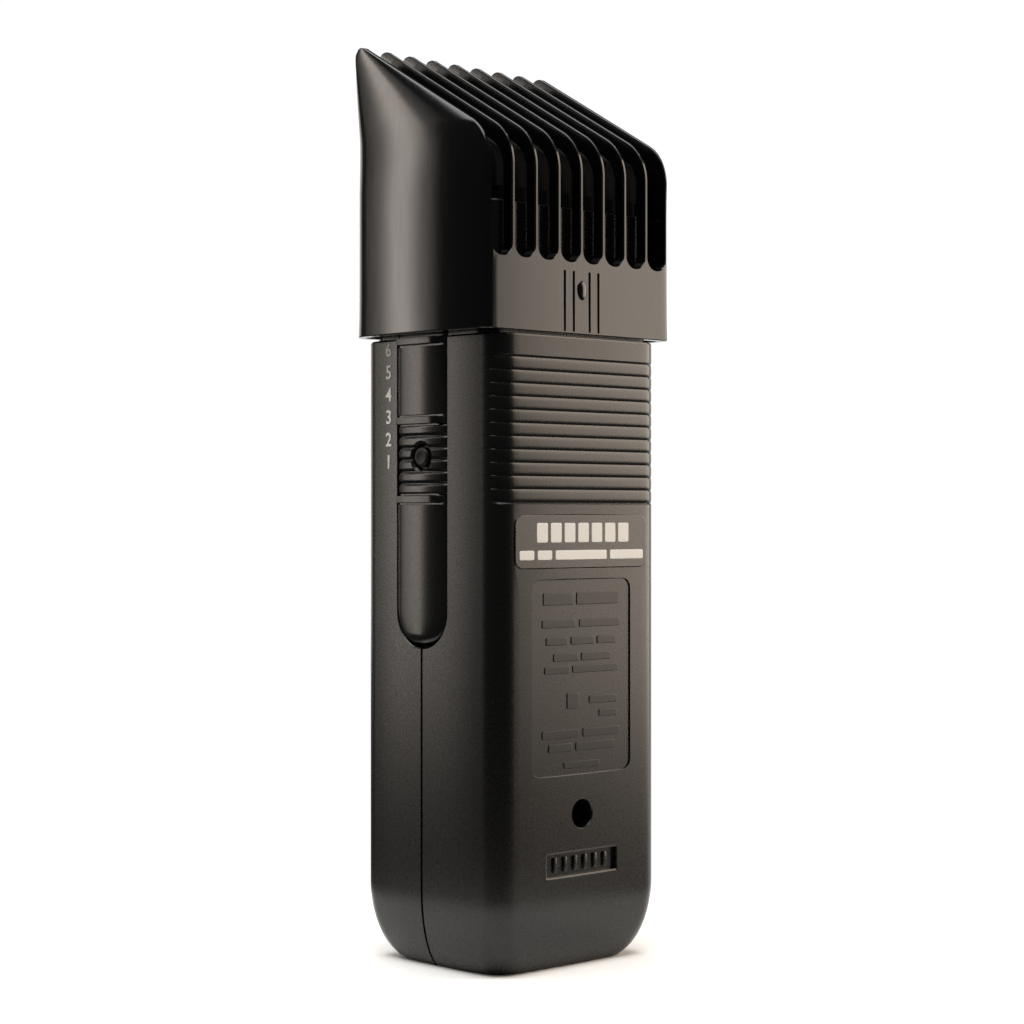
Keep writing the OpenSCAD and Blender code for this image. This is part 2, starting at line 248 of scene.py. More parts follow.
def rounded_rectangle(width: float, height: float, radius: float, count: int = 8) -> Array:
    """Corner points of a rounded rectangle about the origin, counter-clockwise.

    Args:
        width: full width.
        height: full height.
        radius: corner radius.
        count: points on each corner.

    Returns:
        An array of shape (4 * count, 2).
    """
    x, y = width / 2 - radius, height / 2 - radius
    corners = ((x, -y, -90), (x, y, 0), (-x, y, 90), (-x, -y, 180))
    return np.concatenate([arc((cx, cy), radius, a, a + 90, count) for cx, cy, a in corners])


def at_depth(flat: Array, depth: float, x: float = 0.0, z: float = 0.0) -> Array:
    """A flat outline of X and Z as a loop on the plane Y = depth, moved along X and Z."""
    return np.column_stack([flat[:, 0] + x, np.full(len(flat), depth), flat[:, 1] + z])


def prism(name: str, outline: Array, axis: str, low: float, high: float) -> Piece:
    """An outline drawn out along Y or Z.

    Args:
        name: the piece's name.
        outline: points (n, 2) in the other two axes, in X, Y, Z order.
        axis: "y" or "z".
        low: first station.
        high: last station.

    Returns:
        The closed prism.
    """
    order = {"y": (0, 2, 1), "z": (0, 1, 2)}[axis]
    loops = np.stack([np.column_stack([outline, np.full(len(outline), level)]) for level in (low, high)])
    return stacked(name, loops[..., order])


# ---------------------------------------------------------------- finishes


def linear(code: str) -> tuple[float, float, float, float]:
    """An sRGB hex colour as linear RGBA.

    Args:
        code: a hash and six hex digits.

    Returns:
        Red, green, blue and an alpha of 1.
    """
    parts = np.array([int(code[k : k + 2], 16) / 255 for k in (1, 3, 5)])
    out = np.where(parts <= 0.04045, parts / 12.92, ((parts + 0.055) / 1.055) ** 2.4)
    return (*map(float, out), 1.0)


def add(
    tree: bpy.types.NodeTree, kind: str, inputs: dict[Any, Any] | None = None, **settings: Any
) -> bpy.types.Node:
    """Adds a node to a tree.

    Args:
        tree: the node tree.
        kind: the node's type name.
        inputs: values or output sockets for its inputs, by name or index.
        **settings: attributes of the node.

    Returns:
        The node.
    """
    node = tree.nodes.new(kind)
    for key, value in settings.items():
        setattr(node, key, value)
    for key, value in (inputs or {}).items():
        if isinstance(value, bpy.types.NodeSocket):
            tree.links.new(value, node.inputs[key])
        else:
            node.inputs[key].default_value = value
    return node


# spacing of the slow change of tone over a moulded or rolled surface
MOTTLE_MM = 14


class Grain(Enum):
    """How the marks of making run over a surface: the share of the grain's frequency along X, Y and Z."""

    EVEN = (1.0, 1.0, 1.0)
    UPRIGHT = (1.0, 1.0, 0.06)
    CROSSWISE = (0.05, 1.0, 1.0)


@dataclass(frozen=True)
class Finish:
    """A material and how its surface was made.

    Attributes:
        name: the material's common name and process.
        colour: sRGB hex.
        rough: the shader's roughness.
        metallic: 1 for a bare metal.
        ior: refractive index of a plastic or a lacquer.
        coat: weight of a clear coat.
        grain_mm: spacing of the surface's grain.
        depth_mm: height of the grain.
        vary: how far the roughness and the colour wander, 0 to 1.
        grain: the direction of the marks.
        clear: transmission weight.
    """

    name: str
    colour: str
    rough: float
    metallic: float = 0.0
    ior: float = 1.5
    coat: float = 0.0
    grain_mm: float = 0.4
    depth_mm: float = 0.01
    vary: float = 0.2
    grain: Grain = Grain.EVEN
    clear: float = 0.0

    def build(self) -> bpy.types.Material:
        """The node material: wandering colour and roughness, and a fine bump.

        Returns:
            The material, made once per name.
        """
        if self.name in bpy.data.materials:
            return bpy.data.materials[self.name]
        material = bpy.data.materials.new(self.name)
        material.use_nodes = True
        tree = material.node_tree
        tree.nodes.clear()
        place = add(tree, "ShaderNodeTexCoord").outputs["Object"]
        run = add(tree, "ShaderNodeMapping", {"Vector": place, "Scale": self.grain.value}).outputs[0]
        close, wide = 1 / (self.grain_mm * MM), 1 / (MOTTLE_MM * MM)
        fine = add(tree, "ShaderNodeTexNoise", {"Vector": run, "Scale": close, "Detail": 3.0})
        broad = add(tree, "ShaderNodeTexNoise", {"Vector": place, "Scale": wide, "Detail": 2.0})
        base = linear(self.colour)
        dark = tuple(c * (1 - 0.5 * self.vary) for c in base[:3]) + (1.0,)
        light = tuple(min(1.0, c * (1 + 0.5 * self.vary)) for c in base[:3]) + (1.0,)
        tone = add(tree, "ShaderNodeMix", {0: broad.outputs["Fac"], 6: dark, 7: light}, data_type="RGBA")
        rough = add(
            tree,
            "ShaderNodeMapRange",
            {
                "Value": fine.outputs["Fac"],
                "From Min": 0.3,
                "From Max": 0.7,
                "To Min": self.rough * (1 - 0.35 * self.vary),
                "To Max": min(1.0, self.rough * (1 + 0.35 * self.vary)),
            },
        )
        relief = {"Height": fine.outputs["Fac"], "Distance": self.depth_mm * MM, "Strength": 0.6}
        bump = add(tree, "ShaderNodeBump", relief)
        shader = add(
            tree,
            "ShaderNodeBsdfPrincipled",
            {
                "Base Color": tone.outputs[2],
                "Roughness": rough.outputs[0],
                "Metallic": self.metallic,
                "IOR": self.ior,
                "Coat Weight": self.coat,
                "Transmission Weight": self.clear,
                "Normal": bump.outputs[0],
            },
        )
        add(tree, "ShaderNodeOutputMaterial", {"Surface": shader.outputs[0]})
        return material

    def dress(self, piece: Piece) -> Piece:
        """Puts the finish on every material slot of a piece.

        Args:
            piece: the piece to dress.

        Returns:
            The same piece.
        """
        material = self.build()
        if not piece.material_slots:
            piece.data.materials.append(material)
        for place in piece.material_slots:
            place.material = material
        return piece


# ABS moulded in a spark-eroded tool: a warm black satin skin with a fine even grain
SATIN_ABS = Finish("abs_moulded_satin_black", "#0A0908", 0.28, ior=1.44, grain_mm=0.4, depth_mm=0.0015)
# the same skin on the embossed lines, rubbed by handling
RUBBED_ABS = Finish("abs_moulded_rubbed_black", "#0A0908", 0.33, ior=1.41, depth_mm=0.003, vary=0.3)
# ABS moulded in a polished tool: deep black, sharp lights drawn along the height
POLISHED_ABS = Finish("abs_moulded_polished_black", "#040404", 0.16, ior=1.41, grain_mm=0.5, depth_mm=0.002,
                      vary=0.3, grain=Grain.UPRIGHT)
# the same ABS in a finer tool, for the sliding arms and the buttons
ARM_ABS = Finish("abs_moulded_fine_black", "#0A0908", 0.26, ior=1.43, grain_mm=0.3, depth_mm=0.0015)
# the same ABS left matt where it is hidden under the hood
MATT_ABS = Finish("abs_moulded_matt_black", "#040404", 0.85, ior=1.2, grain_mm=0.4, depth_mm=0.004)
# the same ABS with a worn, rougher skin on the pressed buttons
BUTTON_ABS = Finish("abs_moulded_button_black", "#050505", 0.5, ior=1.4, grain_mm=0.4, depth_mm=0.004)
# printed film: smooth and a little glossy
LABEL_FILM = Finish("polyester_film_black", "#0B0B0B", 0.28, ior=1.5, grain_mm=0.6, depth_mm=0.001)
# pad-printed and screen-printed inks: flat and slightly uneven
PRINT_INK = Finish("pad_printed_ink_pale", "#F0EEE8", 0.4, grain_mm=0.2, depth_mm=0.001, vary=0.1)
LABEL_INK = Finish("screen_printed_ink_white", "#EDEBE4", 0.5, grain_mm=0.25, depth_mm=0.002, vary=0.1)
# ground stainless steel: fine lines across the blade
GROUND_STEEL = Finish("stainless_steel_ground", "#B9B8B4", 0.28, metallic=1.0, grain_mm=0.25, depth_mm=0.003,
                      grain=Grain.CROSSWISE)
# rolled, zinc-plated and drawn steels: pale metal, dullest under zinc
SPRING_STEEL = Finish("spring_steel_rolled", "#A5A29B", 0.32, metallic=1.0, grain_mm=0.3, depth_mm=0.002)
ZINC_STEEL = Finish("steel_zinc_plated", "#9A9A96", 0.35, metallic=1.0, grain_mm=0.5, depth_mm=0.004)
DRAWN_STEEL = Finish("steel_drawn_plated", "#8E8D88", 0.3, metallic=1.0, grain_mm=0.4, depth_mm=0.003,
                     grain=Grain.UPRIGHT)
# contacts: bright nickel, and bare stamped brass
NICKEL = Finish("nickel_plated_brass", "#C9C4B6", 0.18, metallic=1.0, grain_mm=0.3, depth_mm=0.001)
BRASS = Finish("brass_stamped", "#C79A4B", 0.3, metallic=1.0, grain_mm=0.3, depth_mm=0.003)
# the commutator's turned copper, and lacquered wire, whose turns show as coarse lines
COPPER = Finish("copper_turned", "#B8703C", 0.28, metallic=1.0, grain_mm=0.2, depth_mm=0.003,
                grain=Grain.CROSSWISE)
WINDING = Finish("copper_wire_enamelled", "#8A4A22", 0.3, metallic=0.8, coat=0.6, grain_mm=0.3, depth_mm=0.03,
                 grain=Grain.CROSSWISE)
# sintered magnets: dark grey and chalky
FERRITE = Finish("ferrite_sintered", "#2B2B2D", 0.7, grain_mm=0.3, depth_mm=0.01)
# laminated core under brown lacquer, and pressed paper board
IRON_CORE = Finish("silicon_steel_lacquered", "#4A3A2A", 0.45, coat=0.4, grain_mm=0.5, depth_mm=0.02)
PHENOLIC = Finish("phenolic_board_pressed", "#6B4522", 0.5, grain_mm=0.8, depth_mm=0.005)
# unfilled plastics, off-white and a little waxy
ACETAL = Finish("acetal_moulded_natural", "#D9D3BF", 0.4, grain_mm=0.4, depth_mm=0.003)
NYLON = Finish("nylon_moulded_cream", "#C9C0A8", 0.45, grain_mm=0.4, depth_mm=0.004)
# shrunk film over cells and capacitor: glossy with slow ripples
SLEEVE_GREEN = Finish("pvc_sleeve_shrunk_green", "#1E5A33", 0.25, coat=0.3, grain_mm=1.5, depth_mm=0.01)
SLEEVE_BLUE = Finish("pvc_sleeve_shrunk_blue", "#1C2A66", 0.25, coat=0.3, grain_mm=1.5, depth_mm=0.01)
# extruded insulation: even and slightly dull
LEAD_RED = Finish("pvc_lead_red", "#8E1A12", 0.4, grain_mm=0.5, depth_mm=0.004)
LEAD_WHITE = Finish("pvc_lead_white", "#D6D3CB", 0.4, grain_mm=0.5, depth_mm=0.004)
# clear red plastics over and round the lamp
LENS = Finish("acrylic_moulded_red", "#B01810", 0.12, ior=1.49, grain_mm=1.0, depth_mm=0.001, clear=0.7)
LAMP = Finish("epoxy_cast_red", "#A01C14", 0.2, ior=1.55, grain_mm=1.0, depth_mm=0.001, clear=0.3)
# painted board: flat and nearly white
PALE_FLOOR = Finish("painted_board_pale", "#F4F3F0", 0.9, grain_mm=2.0, depth_mm=0.001, vary=0.02)

# the finish of each CAD node, also of those that a new piece stands for
NODE_FINISH: dict[str, Finish] = {
    "rear_housing": SATIN_ABS,
    "front_housing": SATIN_ABS,
    "comb_hood": POLISHED_ABS,
    "comb_arm_right": ARM_ABS,
    "comb_arm_left": ARM_ABS,
    "lock_button_right": ARM_ABS,
    "lock_button_left": ARM_ABS,
    "lock_spring_right": SPRING_STEEL,
    "lock_spring_left": SPRING_STEEL,
    "power_switch_knob": ARM_ABS,
    "switch_contact": BRASS,
    "switch_terminals": NYLON,
    "lamp_lens": LENS,
    "charge_lamp": LAMP,
    "circuit_board": PHENOLIC,
    "transformer": IRON_CORE,
    "smoothing_capacitor": SLEEVE_BLUE,
    "battery_cells": SLEEVE_GREEN,
    "battery_link": NICKEL,
    "battery_tabs": NICKEL,
    "inlet_socket": SATIN_ABS,
    "inlet_pins": NICKEL,
    "mains_leads": LEAD_WHITE,
    "motor_leads": LEAD_RED,
    "motor_can": DRAWN_STEEL,
    "motor_end_cap": NYLON,
    "motor_magnets": FERRITE,
    "rotor": WINDING,
    "commutator": COPPER,
    "eccentric_cam": ACETAL,
    "motor_plate": ZINC_STEEL,
    "motor_screws": ZINC_STEEL,
    "head_base": MATT_ABS,
    "blade_frame": MATT_ABS,
    "fixed_blade": GROUND_STEEL,
    "blade_screws": ZINC_STEEL,
    "moving_blade": GROUND_STEEL,
    "drive_fork": ACETAL,
    "blade_spring": SPRING_STEEL,
    "housing_screw": ZINC_STEEL,
    "warning_label": LABEL_FILM,
}


class CadDresser:
    """Gives the CAD nodes their finishes, and smooth shading by a modifier."""

    def __init__(self) -> None:
        """Makes the shading group once."""
        self.group = self._smooth_group()

    @staticmethod
    def _smooth_group() -> bpy.types.NodeTree:
        """Geometry nodes that merge loose triangles and smooth all but the sharp edges.

        Returns:
            The node group.
        """
        group = bpy.data.node_groups.new("smooth_by_angle", "GeometryNodeTree")
        group.interface.new_socket("Geometry", in_out="INPUT", socket_type="NodeSocketGeometry")
        group.interface.new_socket("Geometry", in_out="OUTPUT", socket_type="NodeSocketGeometry")
        source = add(group, "NodeGroupInput")
        merged = add(group, "GeometryNodeMergeByDistance", {"Geometry": source.outputs[0], "Distance": 2e-6})
        angle = add(group, "GeometryNodeInputMeshEdgeAngle").outputs[0]
        flat = add(group, "FunctionNodeCompare", {0: angle, 1: math.radians(28)}, operation="LESS_THAN")
        faces = add(group, "GeometryNodeSetShadeSmooth", {"Geometry": merged.outputs[0]}, domain="FACE")
        edges = add(
            group,
            "GeometryNodeSetShadeSmooth",
            {"Geometry": faces.outputs[0], "Shade Smooth": flat.outputs[0]},
            domain="EDGE",
        )
        add(group, "NodeGroupOutput", {0: edges.outputs[0]})
        return group

    def dress(self, node: str, piece: Piece) -> None:
        """Puts the node's finish and the shading on its object."""
        NODE_FINISH[node].dress(piece)
        piece.modifiers.new("shading", "NODES").node_group = self.group


# ---------------------------------------------------------------- pieces


def turned(name: str, profile: Array, axis: str, at: Sequence[float], count: int = 48) -> Piece:
    """A profile carried round an axis: each point (station, radius) becomes a circle.

    Args:
        name: the piece's name.
        profile: points (n, 2) of station along the axis and radius; both ends may have radius 0.
        axis: "x" or "y".
        at: the axis's place in the other two directions, in X, Y, Z order.
        count: points round the axis.

    Returns:
        The closed piece.
    """
    angle = np.linspace(0, 2 * np.pi, count, endpoint=False)
    station = np.repeat(profile[:, :1], count, 1)
    first = at[0] + profile[:, 1:] * np.cos(angle)
    second = at[1] + profile[:, 1:] * np.sin(angle)
    order = (station, first, second) if axis == "x" else (first, station, second)
    return stacked(name, np.stack(order, -1))


def block(name: str, low: Sequence[float], high: Sequence[float]) -> Piece:
    """A closed box between its low and its high corner, for cutting."""
    corners = np.array([(low[0], low[1]), (high[0], low[1]), (high[0], high[1]), (low[0], high[1])], float)
    return prism(name, corners, "z", low[2], high[2])


def rounded_levels(
    size: Sequence[float],
    radius: float,
    stations: Sequence[tuple[float, float]],
    count: int,
    x: float = 0.0,
    z: float = 0.0,
) -> Array:
    """Loops of a rounded rectangle that faces along Y, grown by a different amount at each depth.

    Args:
        size: width and height where nothing is added.
        radius: corner radius there.
        stations: depth and growth of each level.
        count: points on each corner.
        x: place of its middle along X.
        z: height of its middle.

    Returns:
        An array of shape (levels, points, 3).
    """
    return np.stack([
        at_depth(rounded_rectangle(size[0] + 2 * grow, size[1] + 2 * grow, radius + grow, count), depth, x, z)
        for depth, grow in stations
    ])


def recess(
    name: str, size: Sequence[float], radius: float, z: float, floor: float, face: float, flare: float
) -> Piece:
    """A cutter for a shallow rounded recess in the rear face, with a low bevel round its rim.

    The wall stands straight from the floor, and over the last fifth of the flare it opens out by it.

    Args:
        name: the cutter's name.
        size: width and height at the recess floor.
        radius: corner radius.
        z: height of the recess's middle.
        floor: depth coordinate of the recess floor.
        face: depth coordinate of the face it is cut in.
        flare: width of the bevel.

    Returns:
        The closed cutter.
    """
    bevel = face - 0.2 * flare
    stations = (
        (floor, 0.0),
        (bevel - 0.04, 0.0),
        (bevel, 0.15 * flare),
        (face + 0.03, flare),
        (face + 3, flare),
    )
    return stacked(name, rounded_levels(size, radius, stations, 8, z=z))


# travel of the comb from one setting to the next
SETTING = 4.06


@dataclass(frozen=True)
class Outline:
    """The points of a rounded rectangle, as shares of its size and its corner radius.

    A point is (a * (half_x - r) + c * r, b * (half_y - r) + d * r): a and b place the corner's centre,
    c and d turn about it. The arrays run once round, counter-clockwise from the +X side.

    Attributes:
        along_x: spaces on each side that runs along X.
        along_y: spaces on each side that runs along Y.
        corner: spaces on each corner.
    """

    along_x: int = 24
    along_y: int = 20
    corner: int = 10

    def shares(self) -> tuple[Array, Array, Array, Array]:
        """The four share arrays a, b, c and d.

        Returns:
            Arrays of one length.
        """
        parts = []
        x, y = self.along_x, self.along_y
        for a, b, start, count in ((1, -1, 0, y), (1, 1, 90, x), (-1, 1, 180, y), (-1, -1, 270, x)):
            step = np.linspace(-1, 1, count + 1)[1:-1]
            angle = np.radians(start + np.linspace(0, 90, self.corner + 1))
            plain = np.ones(len(step))
            turn = math.radians(start)
            run_a, run_b = (plain * a, step * -b) if start in (0, 180) else (step * -a, plain * b)
            parts.append(np.stack([run_a, run_b, plain * math.cos(turn), plain * math.sin(turn)]))
            a_end, b_end = {0: (1, 1), 90: (-1, 1), 180: (-1, -1), 270: (1, -1)}[start]
            bend = np.ones(len(angle))
            parts.append(np.stack([bend * a_end, bend * b_end, np.cos(angle), np.sin(angle)]))
        return tuple(np.concatenate(parts, 1))

    def loops(
        self,
        z: Array,
        half_x: Array,
        y_low: Array,
        y_high: Array,
        radius: Array,
        crown: tuple[float, float] = (0.0, 0.0),
        push: Array | None = None,
    ) -> Array:
        """Loops of crowned rounded rectangles, one for each level.

        Each face swells outwards by crown * (1 - |share along it| ** 3), so it is highest in the
        middle and meets the corner arcs with no step.

        Args:
            z: height of each level.
            half_x: half width of each level.
            y_low: depth of the -Y side.
            y_high: depth of the +Y side.
            radius: corner radius.
            crown: swell of the faces that look along X and along Y.
            push: extra move outwards, shape (levels, points).

        Returns:
            An array of shape (levels, points, 3).
        """
        a, b, c, d = (share[None, :] for share in self.shares())
        levels = (z, half_x, y_low, y_high, radius)
        z, half_x, y_low, y_high, radius = (np.broadcast_to(v, np.shape(z))[:, None] for v in levels)
        half_y = (y_high - y_low) / 2
        radius = np.clip(radius, 1e-4, np.minimum(half_x, half_y) * 0.999 + 1e-4)
        grow_x = crown[0] * (1 - np.abs(b) ** 3) * c
        grow_y = crown[1] * (1 - np.abs(a) ** 3) * d
        more = 0.0 if push is None else push
        x = a * (half_x - radius) + c * (radius + more) + grow_x * np.minimum(1, half_y / 4)
        y = (y_high + y_low) / 2 + b * np.maximum(half_y - radius, 0)
        y = y + d * (np.minimum(radius, half_y) + more) + grow_y
        return np.stack([x, y, np.broadcast_to(z, x.shape)], -1)


@dataclass(frozen=True)
class Housing:
    """The two moulded shells that meet on the plane Y = 0.

    Attributes:
        half_width: from the middle to each side.
        rear: depth of the rear face.
        front: depth of the front face.
        radius: radius of the upright corners.
        shoulder: height of the shoulder.
        neck_top: top of the neck.
        neck: low and high depth of the neck.
        foot_inset: how far the foot curves in.
        foot_height: height of the foot's curve.
        wall: wall thickness.
        crown: swell of the side faces and of the front and rear faces.
        channel: floor of the side channels, half width and lower end.
        rib_start: height of the lowest grip groove.
        rib_pitch: spacing of the grip grooves.
        rib_count: number of grip grooves.
        rib_depth: depth of the grip grooves.
        screw_z: height of the housing screw.
        seam: half width, depth and upper end of the groove between the shells.
        label: width, height, corner radius and middle height of the label's recess.
        rating: the same of the rating panel's recess.
        window: the same of the small window near the foot.
        label_deep: depth of the label's recess below the rear face.
        rating_deep: depth of the rating panel's recess.
        window_deep: depth of the window.
        inlet: gap between the centres of the inlet's two lobes, their radius and their depth coordinate.
    """

    half_width: float = 20.6
    rear: float = 19.4
    front: float = -17.1
    radius: float = 4.0
    shoulder: float = 112.6
    neck_top: float = 136.0
    neck: tuple[float, float] = (-14.05, 16.95)
    foot_inset: float = 5.2
    foot_height: float = 14.5
    wall: float = 2.2
    crown: tuple[float, float] = (0.4, 0.12)
    channel: tuple[float, float, float] = (18.2, 6.65, 57.1)
    rib_start: float = 83.1
    rib_pitch: float = 2.31
    rib_count: int = 12
    rib_depth: float = 0.27
    screw_z: float = 27.6
    seam: tuple[float, float, float] = (0.26, 0.7, 58.0)
    label: tuple[float, float, float, float] = (33.3, 9.5, 1.8, 76.15)
    rating: tuple[float, float, float, float] = (24.9, 34.6, 1.8, 52.1)
    window: tuple[float, float, float, float] = (17.6, 4.1, 0.25, 18.9)
    label_deep: float = 0.35
    rating_deep: float = 0.2
    window_deep: float = 0.7
    inlet: tuple[float, float, float] = (8.6, 4.6, -1.25)

    def outside(self) -> Array:
        """Loops of the outside: a foot on a quarter ellipse, a straight body, ribs, a shoulder and a neck.

        The foot's inset is foot_inset * (1 - sin t) at the height foot_height * (cos 15 - cos t). Between
        two grooves a rib is flat with round shoulders: it falls by depth * (1 - sqrt(1 - |2u - 1|^3)),
        and the grooves run out round the corners.

        Returns:
            An array of shape (levels, points, 3).
        """
        outline = Outline()
        turn = np.radians(np.linspace(15, 90, 16))
        foot_z = self.foot_height * (math.cos(math.radians(15)) - np.cos(turn))
        foot_in = self.foot_inset * (1 - np.sin(turn))
        low = np.array([18, 22, 30, 40, 50, 58, 66, 74, 80, 82.2])
        share = (1 - np.cos(np.pi * np.arange(10) / 10)) / 2
        cells = self.rib_start + self.rib_pitch * (np.arange(self.rib_count - 1)[:, None] + share).ravel()
        last = self.rib_start + self.rib_pitch * (self.rib_count - 1)
        high = np.array([last, last + 0.35, last + 1.0, self.shoulder - 0.35, self.shoulder - 0.1])
        z = np.concatenate([foot_z, low, [self.rib_start - 0.35], cells, high])
        inset = np.concatenate([foot_in, np.zeros(len(z) - len(foot_in))])
        inset[-1] = 0.1
        u = np.mod((z - self.rib_start) / self.rib_pitch, 1.0)
        sunk = self.rib_depth * (1 - np.sqrt(np.clip(1 - np.abs(2 * u - 1) ** 3, 0, 1)))
        inside = (z > self.rib_start - 0.01) & (z < last + 0.01)
        _, b, _, d = outline.shares()
        rear_side = (b > 0.999) & (d > 0.02)
        push = -np.where(inside, sunk, 0.0)[:, None] * (rear_side * np.clip(d, 0, 1) ** 1.5)[None, :]
        radius = self.radius + 0.55 * inset
        body = outline.loops(
            z, self.half_width - inset, self.front + inset, self.rear - inset, radius, self.crown, push
        )
        top = outline.loops(
            np.array([self.shoulder, self.shoulder, self.neck_top - 0.3, self.neck_top]),
            np.array([self.half_width - 0.35, 20.6, 20.6, 20.3]),
            np.array([self.front + 0.35, self.neck[0], self.neck[0], self.neck[0] + 0.3]),
            np.array([self.rear - 0.35, self.neck[1], self.neck[1], self.neck[1] - 0.3]),
            np.array([self.radius, 3.0, 3.0, 2.8]),
        )
        return np.concatenate([body, top])

    def cavity(self) -> Piece:
        """The hollow inside, less the walls that stand behind the side channels.

        Returns:
            The closed tool.
        """
        w = self.wall
        z = np.array([2.4, 8.0, 9.5, self.shoulder - 2.2, self.shoulder - 2.2, self.neck_top + 1])
        step = np.array([2.5, 2.5, 0, 0, 0, 0])
        low = np.array([self.front + w] * 4 + [self.neck[0] + 2] * 2) + step
        high = np.array([self.rear - w] * 4 + [self.neck[1] - 2] * 2) - step
        outline = Outline(along_x=2, along_y=2, corner=4)
        hollow = stacked("cavity", outline.loops(z, self.half_width - w - step, low, high, np.full(6, 2.0)))
        walls = [block("wall", (s * 21.2 - 5, -8.8, 53), (s * 21.2 + 5, 8.8, 143)) for s in (-1, 1)]
        return carve(hollow, walls, Cut.AWAY)

    def channel_cutters(self) -> list[Piece]:
        """Both side channels: a straight slot with a round lower end, flared a little at its rim.

        Returns:
            The two tools.
        """
        floor, half, low = self.channel
        cutters = []
        for side in (-1, 1):
            loops = []
            for depth, grow in ((floor, 0.0), (20.65, 0.0), (20.8, 0.06), (20.95, 0.2), (30.0, 0.2)):
                end = arc((0.0, low + half), half + grow, 180, 360, 33)
                flat = np.concatenate([end, [(half + grow, 150.0), (-half - grow, 150.0)]])
                loops.append(np.column_stack([np.full(len(flat), side * depth), flat]))
            cutters.append(stacked("channel", np.stack(loops)))
        return cutters

    def notch_cutters(self) -> list[Piece]:
        """Six lock notches in the floor of each channel.

        Returns:
            The twelve tools.
        """
        tools = []
        for side in (-1, 1):
            low, high = sorted((side * (self.channel[0] - 0.5), side * (self.channel[0] + 1)))
            for k in range(6):
                tools.append(block("notch", (low, -1.6, 90.5 + SETTING * k), (high, 1.6, 91.9 + SETTING * k)))
        return tools

    def seam_cutter(self) -> Piece:
        """A groove 0.52 mm wide and 0.7 mm deep that follows the outside on the plane Y = 0.

        Returns:
            The closed tool, a frame that reaches past the outside.
        """
        half, deep, top = self.seam
        turn = np.radians(np.linspace(15, 90, 16))
        rise = self.foot_height * (math.cos(math.radians(15)) - np.cos(turn)) + 0.45
        inset = self.foot_inset * (1 - np.sin(turn))
        reach = self.half_width + self.crown[0] - deep - inset
        inner = np.concatenate([np.stack([reach, rise], -1), [(reach[-1], top)]])
        outer = np.array([(-30, top), (-30, -2), (30, -2), (30, top)], float)
        ring = np.concatenate([inner[::-1], inner * np.array([-1, 1]), outer])
        return prism("seam", ring, "y", -half, half)

    def inlet_cutter(self) -> Piece:
        """The two-lobed mouth of the inlet in the foot.

        Returns:
            The closed tool.
        """
        gap, radius, depth = self.inlet
        right = arc((gap / 2, depth), radius, -90, 90, 17)
        left = arc((-gap / 2, depth), radius, 90, 270, 17)
        return prism("inlet", np.concatenate([right, left]), "z", -3, 9)

    def half(self, name: str, rear: bool) -> Piece:
        """One shell, cut from the whole outside.

        Args:
            name: the piece's name.
            rear: the rear shell, or else the front one.

        Returns:
            The carved shell.
        """
        shell = stacked(name, self.outside())
        side = block("half", (-40, 0.0 if rear else -40, -5), (40, 40 if rear else 0.0, 200))
        carve(shell, [side], Cut.KEEP)
        carve(shell, [self.cavity()], Cut.AWAY)
        if rear:
            boss = np.array([(0.0, 0.0), (0.0, 4.2), (17.7, 4.2), (17.7, 0.0)])
            bore = np.array([(-5, 0), (-5, 1.5), (10.15, 1.5), (10.15, 2.55), (19.35, 2.55), (19.48, 2.62),
                             (19.6, 2.8), (30, 2.8), (30, 0)], float)
        else:
            boss = np.array([(-15.4, 0.0), (-15.4, 3.2), (0.0, 3.2), (0.0, 0.0)])
            bore = np.array([(-9.85, 0), (-9.85, 1.3), (5, 1.3), (5, 0)], float)
        carve(shell, [turned("boss", boss, "y", (0, self.screw_z))], Cut.ADD)
        carve(shell, [turned("bore", bore, "y", (0, self.screw_z))], Cut.AWAY)
        carve(shell, [*self.channel_cutters(), self.inlet_cutter()], Cut.AWAY)
        carve(shell, self.notch_cutters(), Cut.AWAY)
        carve(shell, [self.seam_cutter()], Cut.AWAY)
        if rear:
            face = self.rear + self.crown[1]
            plates = (
                ("label", self.label, self.label_deep, 0.15),
                ("rating", self.rating, self.rating_deep, 0.25),
                ("window", self.window, self.window_deep, 0.4),
            )
            carve(shell, [
                recess(part, place[:2], place[2], place[3], self.rear - deep, face, flare)
                for part, place, deep, flare in plates
            ], Cut.AWAY)
        else:
            slot = prism("slot", rounded_rectangle(8.4, 19.2, 0.8) + np.array([0, 76.1]), "y", -30, -12)
            lens = turned("lens", np.array([(-30, 0), (-30, 1.9), (-12, 1.9), (-12, 0)], float), "y", (0, 56))
            carve(shell, [slot, lens], Cut.AWAY)
        return shell

    def side_x(self, y: Array) -> Array:
        """The outside of the +X face at a depth: the half width and the swell of the face.

        Args:
            y: depth of each point.

        Returns:
            X of each point.
        """
        middle, reach = (self.rear + self.front) / 2, (self.rear - self.front) / 2 - self.radius
        return self.half_width + self.crown[0] * (1 - np.abs((y - middle) / reach) ** 3)

    def build(self) -> None:
        """Makes both shells, and puts them in place of the CAD ones."""
        halves = (("shell_rear", "rear_housing", True), ("shell_front", "front_housing", False))
        for name, node, rear in halves:
            piece = shade(self.half(name, rear), 15)
            SATIN_ABS.dress(piece)
            attach(piece, "housing", "housing_black", node)


